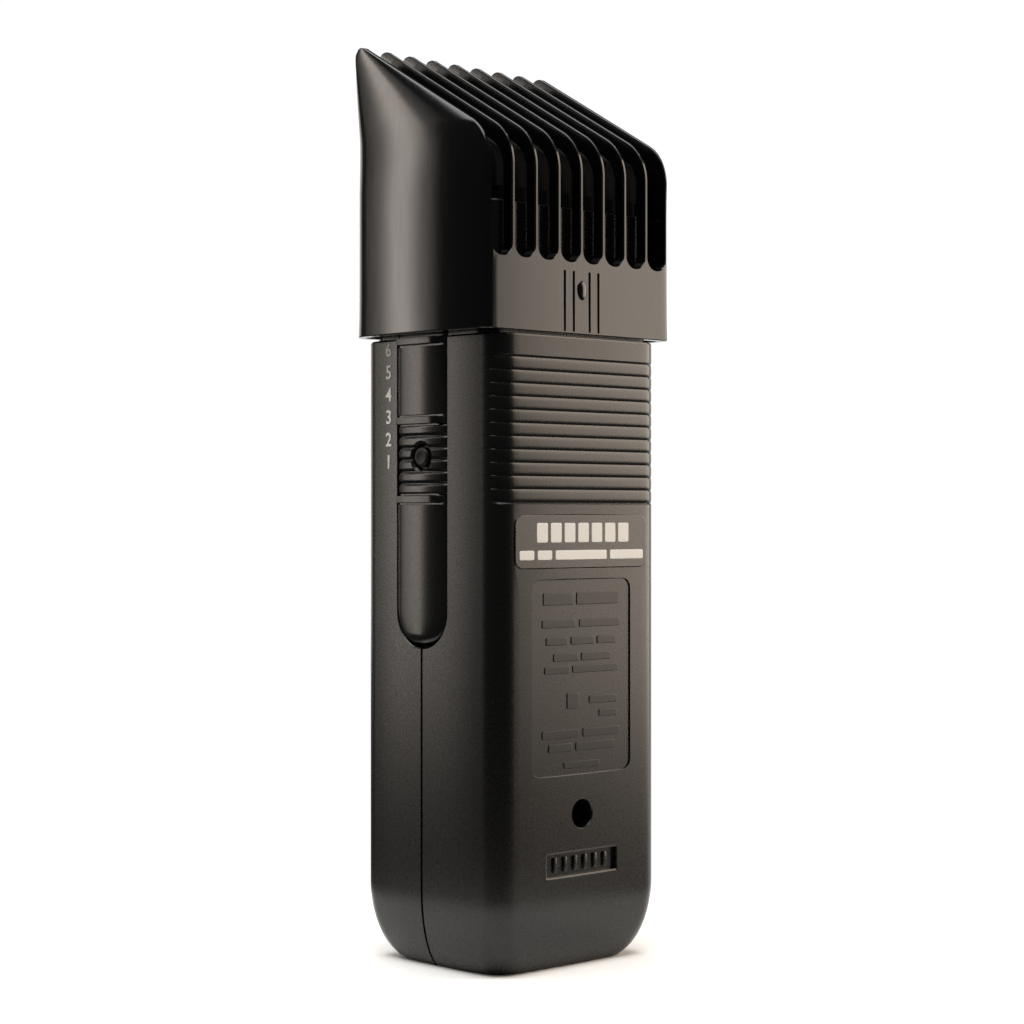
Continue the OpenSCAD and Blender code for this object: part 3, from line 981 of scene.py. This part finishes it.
@dataclass(frozen=True)
class CombHood:
    """The comb hood: a deep moulded cap whose rear and top are cut into teeth.

    Attributes:
        half_width: from the middle to each side.
        rear: depth of the rear face.
        front: depth of the front face.
        low: height of the rim.
        crease: height where the sides start to lean in.
        lean_in: how far each side has leaned in by the tip.
        slope: angle of the top, degrees.
        tip: depth and height of the line the tooth tips follow.
        bend: radius between the rear and the top.
        pitch: spacing of the teeth.
        slot_low: lower end of the slots.
        swell: how far the sides fall away towards both ends, and further towards the rear.
        corners: radius of the front and the rear upright corners.
    """

    half_width: float = 24.9
    rear: float = 19.45
    front: float = -16.35
    low: float = 113.1
    crease: float = 138.0
    lean_in: float = 1.9
    slope: float = 29.5
    tip: tuple[float, float] = (-14.35, 166.3)
    bend: float = 9.1
    pitch: float = 5.6
    slot_low: float = 125.8
    swell: tuple[float, float] = (1.0, 1.4)
    corners: tuple[float, float] = (5.0, 1.3)

    def bend_centre(self) -> tuple[float, float]:
        """Depth and height of the centre of the rear bend.

        Returns:
            Y and Z of the centre.
        """
        turn = math.radians(self.slope)
        y = self.rear - self.bend
        return y, self.tip[1] + (-self.bend - math.sin(turn) * (y - self.tip[0])) / math.cos(turn)

    def rear_path(self, inset: float, spread: float = 0.0) -> tuple[Array, Array, Array]:
        """The rear outline: straight up, round the bend, up the slope and over the tip.

        Args:
            inset: distance inside the outside surface.
            spread: how much further in the line lies by the end of the bend.

        Returns:
            Depth, height and the outward direction's angle from +Y, in degrees, along the line.
        """
        cy, cz = self.bend_centre()
        turn = np.linspace(0, 90 - self.slope, 22)
        radius = self.bend - inset - spread * turn / turn[-1]
        arc_y = cy + radius * np.cos(np.radians(turn))
        arc_z = cz + radius * np.sin(np.radians(turn))
        run_z = np.array([self.low, 113.25, 113.5, 114, 115, 117, 120, 124, 128, 132, 136, 139])
        depth = inset + spread
        line = self.tip[1] - depth / math.cos(math.radians(self.slope))
        top = line + 0.11 if inset else 165.745
        slope_z = np.linspace(arc_z[-1], top, 18)[1:]
        slope_y = self.tip[0] + (line - slope_z) / math.tan(math.radians(self.slope))
        y = np.concatenate([np.full(len(run_z), self.rear - inset), arc_y, slope_y])
        z = np.concatenate([run_z, arc_z, slope_z])
        out = np.concatenate([np.zeros(len(run_z)), turn, np.full(len(slope_z), 90 - self.slope)])
        if inset == 0:
            over = np.radians(np.linspace(90 - self.slope, 90, 8)[1:])
            y = np.concatenate([y, self.tip[0] + 2 * np.cos(over)])
            z = np.concatenate([z, 164.0 + 2 * np.sin(over)])
            out = np.concatenate([out, np.degrees(over)])
        return y, z, out

    def outside(self) -> Array:
        """Loops of the outside, one for each point of the rear outline.

        The sides lean in by lean_in * share^1.6 above the crease, the corner radii shrink towards the
        tip, and the rim flares by 0.15 mm * exp(-height / 3 mm). With v the share from front (-1) to
        rear (1), each side falls away by swell[0] * (v^2 - 0.3), and by swell[1] * ((v - 0.3) / 0.7)^2
        towards the rear, both in proportion to the depth left, so the lines of the shading run to the
        tip.

        Returns:
            An array of shape (levels, points, 3).
        """
        rear, z, _ = self.rear_path(0.0)
        front = np.where(z < 164, self.front, self.tip[0] - np.sqrt(np.clip(4 - (z - 164) ** 2, 0, 4)))
        share = np.clip((z - self.crease) / (166 - self.crease), 0, 1) ** 1.6
        flare = 0.15 * np.exp(-(z - self.low) / 3)
        rim = np.where(z < self.low + 0.1, -0.15, 0.0)
        half = self.half_width + 0.1 - self.lean_in * share + flare + rim
        depth = (rear - front)[:, None] / (self.rear - self.front)
        outline = Outline(along_x=40, along_y=32, corner=8)
        most = 0.45 * (rear - front)
        front_half, rear_half = (
            outline.loops(z, half, front - flare * 0.3, rear + flare * 0.3 + rim, np.minimum(radius, most))
            for radius in (self.corners[0] * depth[:, 0], np.interp(z, [138, 148], [self.corners[1], 0.3]))
        )
        loops = np.where(outline.shares()[1][None, :, None] < 0, front_half, rear_half)
        across = (2 * loops[..., 1] - (rear + front)[:, None]) / np.maximum(rear - front, 1e-6)[:, None]
        lean = self.swell[0] * across**2 + self.swell[1] * np.clip((across - 0.3) / 0.7, 0, None) ** 2
        loops[..., 0] *= 1 - (lean - self.swell[0] * 0.3) * depth / self.half_width
        return loops

    def hollow(self) -> Piece:
        """The inside: straight walls, wider below where the neck slides, under a 3 mm roof.

        Returns:
            The closed tool.
        """
        rear, z, _ = self.rear_path(2.0, 1.0)
        rear, z = np.concatenate([[rear[0]], rear]), np.concatenate([[100.0], z])
        half = np.interp(z, [100, 138.5, 141.5, 170], [22.9, 22.9, 21.2, 21.0])
        front = np.full(len(z), -14.55)
        rear = np.maximum(rear, front + 0.02)
        loops = Outline(along_x=4, along_y=4, corner=4).loops(
            z, half, front, rear, np.minimum(2.0, 0.45 * (rear - front))
        )
        return stacked("hollow", loops)

    def slot_cutters(self) -> list[Piece]:
        """A cutter for each slot: a flared section carried along the rear outline.

        The section is 4.9 mm wide at the skin and narrows to 4 mm at 3.4 mm deep, so each tooth is
        thin outside and thick inside, and its rim is eased. The width closes on a half circle at the
        lower end.

        Returns:
            The eight cutters.
        """
        y, z, out = self.rear_path(0.0)
        rise = self.slot_low + 2.45 * (1 - np.cos(np.radians(np.linspace(0, 90, 12))))
        close = np.sin(np.radians(np.linspace(0, 90, 12)))
        keep = (z > self.slot_low + 3) & (z < 165.74)
        y = np.concatenate([np.full(12, self.rear), y[keep]])
        z = np.concatenate([rise, z[keep]])
        out = np.radians(np.concatenate([np.zeros(12), out[keep]]))
        wide = np.concatenate([np.maximum(close, 0.02), np.ones(keep.sum())])
        lean = math.radians(self.slope)
        y = np.append(y, y[-1] - 12 * math.cos(lean))
        z = np.append(z, z[-1] + 12 * math.sin(lean))
        out = np.append(out, out[-1])
        wide = np.append(wide, 1.0)
        half = np.array([2.85, 2.75, 2.58, 2.47, 2.42, 2.0])
        deep = np.array([3.0, 0.12, -0.02, -0.16, -0.4, -3.4])
        across = np.concatenate([half, -half[::-1]])
        deep = np.concatenate([deep, deep[::-1]])
        x = across[None, :] - (1 - wide[:, None]) * np.sign(across) * 2.42
        x = np.where(np.sign(x) == np.sign(across), x, 0.02 * np.sign(across))
        loop_y = y[:, None] + np.cos(out)[:, None] * deep
        loop_z = z[:, None] + np.sin(out)[:, None] * deep
        base = np.stack([x, loop_y, loop_z], -1)
        shift = np.array([1.0, 0.0, 0.0])
        return [stacked("slot", base + shift * k * self.pitch) for k in np.arange(-3.5, 4)]

    def front_cutters(self) -> list[Piece]:
        """The slots' open fronts, round at their lower ends.

        Returns:
            The eight tools.
        """
        end = arc((0.0, 152.3), 2.3, 180, 360, 17)
        flat = np.concatenate([end, [(2.3, 170.0), (-2.3, 170.0)]])
        shift = np.array([self.pitch, 0])
        return [prism("open", flat + k * shift, "y", -30, -12.85) for k in np.arange(-3.5, 4)]

    def marks(self) -> Piece:
        """Four low ribs and a drop-shaped bump on the rear band, as one piece.

        Returns:
            The closed meshes in one object.
        """
        pieces = []
        for x in (-4.25, -2.0, 2.0, 4.25):
            turn = np.radians(np.linspace(0, 180, 9))
            flat = np.stack([x + 0.3 * np.cos(turn), self.rear - 0.1 + 0.36 * np.sin(turn)], -1)
            pieces.append(prism("rib", flat, "z", self.low + 0.4, 124.3))
        u, v = np.meshgrid(np.linspace(0, 90, 8), np.linspace(0, 360, 32, endpoint=False), indexing="ij")
        u, v = np.radians(u), np.radians(v)
        tall = np.where(np.sin(v) > 0, 1.4, 2.2)
        drop = np.stack([1.3 * np.sin(u) * np.cos(v), self.rear - 0.12 + 0.5 * np.cos(u),
                         121.3 + tall * np.sin(u) * np.sin(v)], -1)
        pieces.append(stacked("drop", drop))
        return joined("witness_marks", pieces)

    def build(self) -> None:
        """Makes the hood and its marks, in place of the CAD hood."""
        hood = stacked("hood", self.outside())
        carve(hood, [self.hollow()], Cut.AWAY)
        carve(hood, self.slot_cutters(), Cut.AWAY)
        carve(hood, self.front_cutters(), Cut.AWAY)
        shade(hood, 30)
        POLISHED_ABS.dress(hood)
        attach(hood, "comb", "comb_black", "comb_hood")
        marks = shade(self.marks())
        POLISHED_ABS.dress(marks)
        attach(marks, "comb", "comb_black")


@dataclass(frozen=True)
class SideArm:
    """One arm of the comb: a crowned strip in its channel, with a ribbed pad round the lock button.

    Attributes:
        side: 1 for +X, -1 for -X.
        inner: the arm's inner face.
        crest: height of the crest, from the middle plane.
        half: half width of the strip.
        low: lower end of the strip.
        button_z: height of the lock button.
        pad: lower and upper end of the grip pad.
        pad_rise: how far the pad stands off the inner face.
        groove_pitch: spacing of the pad's grooves.
        groove_deep: depth of the pad's grooves.
        bars: height of each cross bar's lower edge.
        bar_half: half height of a bar.
        bar_rise: how far a bar stands off the inner face.
    """

    side: int
    inner: float = 18.5
    crest: float = 21.45
    half: float = 6.42
    low: float = 57.4
    button_z: float = 91.2
    pad: tuple[float, float] = (84.4, 97.1)
    pad_rise: float = 2.75
    groove_pitch: float = 2.12
    groove_deep: float = 0.3
    bars: tuple[float, float, float] = (83.0, 97.1, 111.3)
    bar_half: float = 0.7
    bar_rise: float = 3.2

    def heights(self, y: Array, z: Array) -> Array:
        """The outer face's distance from the middle plane.

        Along the strip it is a crown, rounder on the rear side, that drops over its edges on a steep
        curve and rounds off towards the lower end. On the pad it stands pad_rise off the inner face, less
        grooves of groove_deep * |cos|^8 every groove_pitch. Three cross bars, the middle one at the pad's
        top, rise to bar_rise between narrow grooves and fall off to the rear.

        Args:
            y: depth of each grid point.
            z: height of each grid point.

        Returns:
            An array of the grid's shape.
        """
        share = np.clip(np.abs(y) / self.half, 0, 1)
        edge = np.sqrt(np.clip(1 - share**16, 0, 1))
        end = np.clip((z - self.low) / 2.2, 0, 1)
        foot = np.sqrt(np.clip(1 - (1 - end) ** 2, 0, 1))
        drop = np.where(y < 0, 0.16, 0.4)
        strip = (self.crest - self.inner - y**2 / np.where(y < 0, 150, 38)) * (1 - drop + drop * edge)
        strip = strip * (0.25 + 0.75 * foot)
        groove = np.abs(np.cos(np.pi * (z - self.pad[0]) / self.groove_pitch)) ** 8
        ribs = self.pad_rise - self.groove_deep * groove - y**2 / np.where(y < 0, 150, 50)
        on_pad = (z > self.pad[0]) & (z < self.pad[1])
        pad = np.where(on_pad, ribs * (1 - drop + drop * edge), strip)
        for base in self.bars:
            off = np.abs(z - base - self.bar_half)
            bar = np.sqrt(np.clip((1 - off / self.bar_half) / 0.16, 0, 1))
            rise = self.bar_rise - y**2 / 200 - 0.5 * np.clip(y - 3.4, 0, None)
            beside = off < 1.0
            pad = np.where(beside, np.maximum(np.minimum(pad, 2.1), rise * bar), pad)
        return self.inner + pad

    def build(self) -> None:
        """Makes the arm and its button, in place of the CAD ones."""
        z = np.concatenate([
            self.low + self.half * (1 - np.cos(np.radians(np.linspace(2, 90, 22)))),
            np.linspace(64.5, 82.5, 12),
            np.arange(82.62, 99.0, 0.075),
            np.linspace(99.2, 110.8, 8),
            np.arange(110.95, 113.1, 0.075),
            [113.5, 118.0, 126.0],
        ])
        chord = np.sqrt(np.clip(self.half**2 - (self.low + self.half - z) ** 2, 0.01, None))
        width = np.where(z < self.low + self.half, chord, self.half)
        share = np.sin(np.linspace(-math.pi / 2, math.pi / 2, 33))
        y = width[:, None] * share[None, :]
        tall = np.repeat(z[:, None], y.shape[1], 1)
        full = self.half * np.repeat(share[None, :], len(z), 0)
        outer = np.stack([self.side * self.heights(full, tall), y, tall], -1)
        inner = outer[:, ::-1].copy()
        inner[..., 0] = self.side * self.inner
        name = "right" if self.side > 0 else "left"
        arm = stacked(f"arm_{name}", np.concatenate([outer, inner], 1))
        near, far = sorted((self.side * 18.9, self.side * 22.85))
        carve(arm, [block("bridge", (near, -5, 115), (far, 5, 125.5))], Cut.ADD)
        bore = np.array([(17, 0), (17, 3.1), (20.3, 3.1), (20.3, 2.4), (20.8, 2.4), (21.5, 3.3), (23, 4.8),
                         (23, 0)], float)
        bore[:, 0] *= self.side
        carve(arm, [turned("bore", bore, "x", (0, self.button_z))], Cut.AWAY)
        shade(arm, 34)
        ARM_ABS.dress(arm)
        attach(arm, "comb", "arm_black", f"comb_arm_{name}")
        dome = np.array([(19.2, 0), (19.2, 2.0), (19.3, 2.1), (19.55, 2.1), (19.55, 2.85), (20.0, 2.85),
                         (20.0, 1.75), (20.9, 1.75), (21.1, 1.68), (21.25, 1.5), (21.3, 1.25), (21.22, 0.9),
                         (21.12, 0.5), (21.1, 0)])
        dome[:, 0] *= self.side
        button = shade(turned(f"button_{name}", dome, "x", (0, self.button_z)))
        BUTTON_ABS.dress(button)
        attach(button, f"lock_{name}", "button_black", f"lock_button_{name}")


# a row of bars: the height of its middle, the height of a bar, and each bar's two ends along X
Row = tuple[float, float, Sequence[tuple[float, float]]]


@dataclass(frozen=True)
class Prints:
    """Numerals beside the channel, and plain bars where the housing carries printing or embossing.

    Attributes:
        housing: the housing they lie on.
        numeral_y: depth of the numerals' middle.
        numeral_z: height of the lowest numeral's middle.
        step: spacing of the numerals.
        tall: height of a numeral.
        film_rise: how far the label's film stands proud of the rear face.
    """

    housing: Housing
    numeral_y: float = -9.15
    numeral_z: float = 90.5
    step: float = SETTING
    tall: float = 2.5
    film_rise: float = 0.2

    def numerals(self) -> Piece:
        """The figures 1 to 6, flat shapes laid on the crowned side face.

        Returns:
            The six figures in one object.
        """
        sheets = []
        for k in range(6):
            curve = bpy.data.curves.new("figure", "FONT")
            curve.body = str(k + 1)
            curve.size = 1.0
            curve.extrude = 0.01
            curve.offset = 0.012
            curve.resolution_u = 4
            text = link("figure", curve)
            graph = bpy.context.evaluated_depsgraph_get()
            mesh = bpy.data.meshes.new_from_object(text.evaluated_get(graph))
            bpy.data.objects.remove(text)
            flat = np.empty(len(mesh.vertices) * 3)
            mesh.vertices.foreach_get("co", flat)
            flat = flat.reshape(-1, 3)
            low, high = flat.min(0), flat.max(0)
            scale = self.tall / (high[1] - low[1])
            y = self.numeral_y + (flat[:, 0] - (low[0] + high[0]) / 2) * scale
            z = self.numeral_z + self.step * k + (flat[:, 1] - (low[1] + high[1]) / 2) * scale
            x = self.housing.side_x(y) + np.where(flat[:, 2] > 0, 0.09, -0.05)
            mesh.vertices.foreach_set("co", (np.stack([x, y, z], -1) * MM).ravel())
            mesh.materials.clear()
            sheets.append(link("figure", mesh))
        return joined("numerals", sheets)

    @staticmethod
    def bars(name: str, rows: Sequence[Row], low: float, high: float) -> Piece:
        """Rows of plain rounded bars on the rear.

        Args:
            name: the piece's name.
            rows: the rows of bars.
            low: depth of the bars' undersides.
            high: depth of their tops.

        Returns:
            One piece that holds every bar.
        """
        pieces = []
        for z, tall, spans in rows:
            for start, stop in spans:
                loops = []
                for depth, grow in ((low, 0.0), (high - 0.06, 0.0), (high - 0.02, -0.03), (high, -0.09)):
                    size = (abs(stop - start) + 2 * grow, tall + 2 * grow)
                    flat = rounded_rectangle(*size, min(0.3, 0.45 * min(size)), 4)
                    loops.append(at_depth(flat, depth, (start + stop) / 2, z))
                pieces.append(stacked("bar", np.stack(loops)))
        return joined(name, pieces)

    def film(self) -> Piece:
        """The label's film: a rounded sheet with an eased rim, a little proud of the rear face.

        Returns:
            The closed sheet.
        """
        width, height, radius, z = self.housing.label
        floor = self.housing.rear - self.housing.label_deep
        top = self.housing.rear + self.film_rise
        stations = ((floor + 0.01, -0.02), (top - 0.12, -0.02), (top - 0.03, -0.07), (top, -0.18))
        return stacked("label_film", rounded_levels((width, height), radius, stations, 8, z=z))

    def build(self) -> None:
        """Makes the numerals, the label's bars and film, the rating bars and the tally bars."""
        numerals = self.numerals()
        PRINT_INK.dress(numerals)
        attach(numerals, "housing", "label_black")
        top = self.housing.rear + self.film_rise
        title = [(11.4 - 3.42 * k, 11.4 - 3.42 * k - 2.75) for k in range(7)]
        line = [(15.6, 12.0), (11.2, 7.6), (6.8, -6.2), (-7.0, -15.7)]
        label = self.bars("label_bars", [(77.75, 3.5, title), (73.8, 1.7, line)], top - 0.03, top + 0.03)
        LABEL_INK.dress(label)
        attach(label, "housing", "label_black")
        film = shade(self.film(), 12)
        LABEL_FILM.dress(film)
        attach(film, "housing", "label_black", "warning_label")
        floor = self.housing.rear - self.housing.rating_deep
        rows = [
            (66.0, 2.2, [(9.5, 2.0), (1.2, -9.5)]),
            (61.6, 1.4, [(9.8, 1.5), (0.5, -9.8)]),
            (58.5, 1.4, [(8.8, 3.5), (2.6, -3.2), (-4.0, -8.8)]),
            (55.6, 1.4, [(7.0, 0.8), (0.0, -7.5)]),
            (53.4, 1.3, [(9.2, 3.0), (2.2, -9.4)]),
            (47.8, 2.8, [(3.6, 0.6)]),
            (47.8, 1.4, [(-2.0, -9.0)]),
            (45.3, 1.3, [(-4.5, -9.0)]),
            (42.0, 1.5, [(9.8, 0.6), (-0.4, -9.8)]),
            (39.6, 1.5, [(8.2, 2.4), (1.4, -8.4)]),
            (36.4, 1.2, [(4.4, -4.6)]),
        ]
        rating = shade(self.bars("rating_bars", rows, floor - 0.1, floor + 0.13), 8)
        RUBBED_ABS.dress(rating)
        attach(rating, "housing", "housing_black")
        tally = [(18.9, 2.7, [(k * 2.5 + 0.4, k * 2.5 - 0.4)]) for k in np.arange(-2.5, 3)]
        marks = shade(self.bars("tally_bars", tally, self.housing.rear - 0.8, self.housing.rear - 0.3))
        SATIN_ABS.dress(marks)
        attach(marks, "housing", "housing_black")


def attach(piece: Piece, body: str, slot: str, *nodes: str) -> None:
    """Makes a piece ride on a body, and hides the CAD nodes it stands for.

    Args:
        piece: the new piece.
        body: the body it rides on.
        slot: its material slot; not used.
        *nodes: the CAD nodes it stands for.
    """
    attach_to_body(piece, body)
    if nodes:
        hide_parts(*nodes)
    LOG.info("made %s: %d faces", piece.name, len(piece.data.polygons))


# ---------------------------------------------------------------- stage


@dataclass(frozen=True)
class Panel:
    """A soft box: a rectangle of light that faces a point above the floor.

    Attributes:
        name: the light's name.
        azimuth: bearing from the object, degrees from -Y towards +X.
        height: metres above the floor.
        distance: metres from the object's axis.
        size: width and height in metres.
        radiance: brightness of the panel's face.
        colour: sRGB hex.
        aim: height it looks at.
    """

    name: str
    azimuth: float
    height: float
    distance: float
    size: tuple[float, float]
    radiance: float
    colour: str = "#FFFFFF"
    aim: float = 0.08

    def place(self) -> None:
        """Makes the light. Its power is pi * area * radiance."""
        data = bpy.data.lights.new(self.name, "AREA")
        data.shape = "RECTANGLE"
        data.size, data.size_y = self.size
        data.energy = math.pi * self.size[0] * self.size[1] * self.radiance
        data.color = linear(self.colour)[:3]
        lamp = link(self.name, data)
        turn = math.radians(self.azimuth)
        lamp.location = (self.distance * math.sin(turn), -self.distance * math.cos(turn), self.height)
        lamp.rotation_euler = (Vector((0, 0, self.aim)) - lamp.location).to_track_quat("-Z", "Y").to_euler()


@dataclass(frozen=True)
class Studio:
    """The camera, the lights, the surround and the floor.

    Attributes:
        camera_place: the camera's place in metres.
        camera_azimuth: bearing of the camera from the object, degrees from -Y towards +X.
        lens_mm: focal length on a 36 mm sensor.
        shift_y: the lens's upward shift.
        bright: brightness of the surround behind the object.
        dim: brightness of the rest of the surround.
        bright_azimuth: bearing of the middle of the bright part.
        floor_radius: radius of the floor, millimetres.
        floor_z: height of the floor, millimetres, a hair under the foot.
        panels: the soft boxes.
    """

    camera_place: tuple[float, float, float] = (0.2959, 0.31205, 0.0807)
    camera_azimuth: float = 136.4
    lens_mm: float = 81.9
    shift_y: float = 0.0039
    bright: float = 1.05
    dim: float = 0.075
    bright_azimuth: float = 293.0
    floor_radius: float = 75.0
    floor_z: float = -0.02
    panels: tuple[Panel, ...] = (
        Panel("side_strip", 40.6, 0.3, 0.7, (0.075, 0.66), 7.6, "#FFF3E8"),
        Panel("side_broad", 42.2, 0.3, 0.72, (0.245, 0.66), 0.65, "#FFF7F0"),
        Panel("rear_fill", 240, 0.28, 0.7, (0.49, 0.64), 5.6, "#FFEEDC"),
        Panel("front_fill", 350, 0.3, 0.7, (0.5, 0.6), 1.6, "#FFF7F0"),
        Panel("overhead", 100, 1.2, 0.15, (1.2, 1.2), 5.6),
    )

    def build(self) -> None:
        """Makes the camera, the lights, the surround and the floor."""
        bpy.context.scene.view_settings.view_transform = "Standard"
        self._camera()
        for panel in self.panels:
            panel.place()
        self._surround()
        self._floor()

    def _camera(self) -> None:
        """A level camera at the rear right corner."""
        data = bpy.data.cameras.new("camera")
        data.lens = self.lens_mm
        data.sensor_width = 36.0
        data.shift_y = self.shift_y
        camera = link("camera", data)
        camera.location = self.camera_place
        camera.rotation_euler = self._away().to_track_quat("-Z", "Y").to_euler()
        bpy.context.scene.camera = camera

    def _away(self) -> Vector:
        """The level direction from the camera's side through the object."""
        turn = math.radians(self.camera_azimuth)
        return Vector((-math.sin(turn), math.cos(turn), 0.0))

    def _surround(self) -> None:
        """A surround: white in a soft patch behind and below the object, and dim elsewhere."""
        world = bpy.data.worlds.new("surround")
        world.use_nodes = True
        tree = world.node_tree
        place = add(tree, "ShaderNodeTexCoord").outputs["Generated"]
        turn = math.radians(self.bright_azimuth)
        middle = (math.sin(turn), -math.cos(turn), 0.0)
        toward = add(tree, "ShaderNodeVectorMath", {0: place, 1: middle}, operation="DOT_PRODUCT")
        wide = add(
            tree,
            "ShaderNodeMapRange",
            {"Value": toward.outputs["Value"], "From Min": 0.6, "From Max": 0.82},
            interpolation_type="SMOOTHSTEP",
        )
        height = add(tree, "ShaderNodeSeparateXYZ", {0: place}).outputs["Z"]
        lifted = add(tree, "ShaderNodeMath", {0: height, 1: 0.25}, operation="ADD")
        rise = add(tree, "ShaderNodeMath", {0: lifted.outputs[0]}, operation="ABSOLUTE")
        low = add(
            tree,
            "ShaderNodeMapRange",
            {"Value": rise.outputs[0], "From Min": 0.49, "From Max": 0.65, "To Min": 1.0, "To Max": 0.0},
            interpolation_type="SMOOTHSTEP",
        )
        patch = add(tree, "ShaderNodeMath", {0: wide.outputs[0], 1: low.outputs[0]}, operation="MULTIPLY")
        ends = {"Value": patch.outputs[0], "To Min": self.dim, "To Max": self.bright}
        level = add(tree, "ShaderNodeMapRange", ends)
        sky = tree.nodes["Background"]
        sky.inputs["Color"].default_value = linear("#FFFFFF")
        tree.links.new(level.outputs[0], sky.inputs["Strength"])
        bpy.context.scene.world = world

    def _floor(self) -> None:
        """A round pale floor: rings of points about the object."""
        radius = self.floor_radius * np.array([0.0, 0.25, 0.5, 0.75, 1.0])
        angle = np.linspace(0, 2 * np.pi, 96, endpoint=False)
        flat = radius[:, None, None] * np.stack([np.cos(angle), np.sin(angle)], -1)[None]
        points = np.concatenate([flat, np.full((*flat.shape[:2], 1), self.floor_z)], -1)
        floor = make_object("floor", points, grid_quads(len(radius), len(angle)))
        PALE_FLOOR.dress(floor)


def main() -> None:
    """Builds the scene in order and reports each piece."""
    logging.basicConfig(level=logging.INFO, format="%(name)s: %(message)s")
    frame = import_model()
    Studio().build()
    housing = Housing()
    housing.build()
    CombHood().build()
    for side in (1, -1):
        SideArm(side).build()
    Prints(housing).build()
    dresser = CadDresser()
    for node, piece in frame["nodes"].items():
        dresser.dress(node, piece)
        LOG.info("dressed %s", node)


if __name__ == "__main__":
    main()
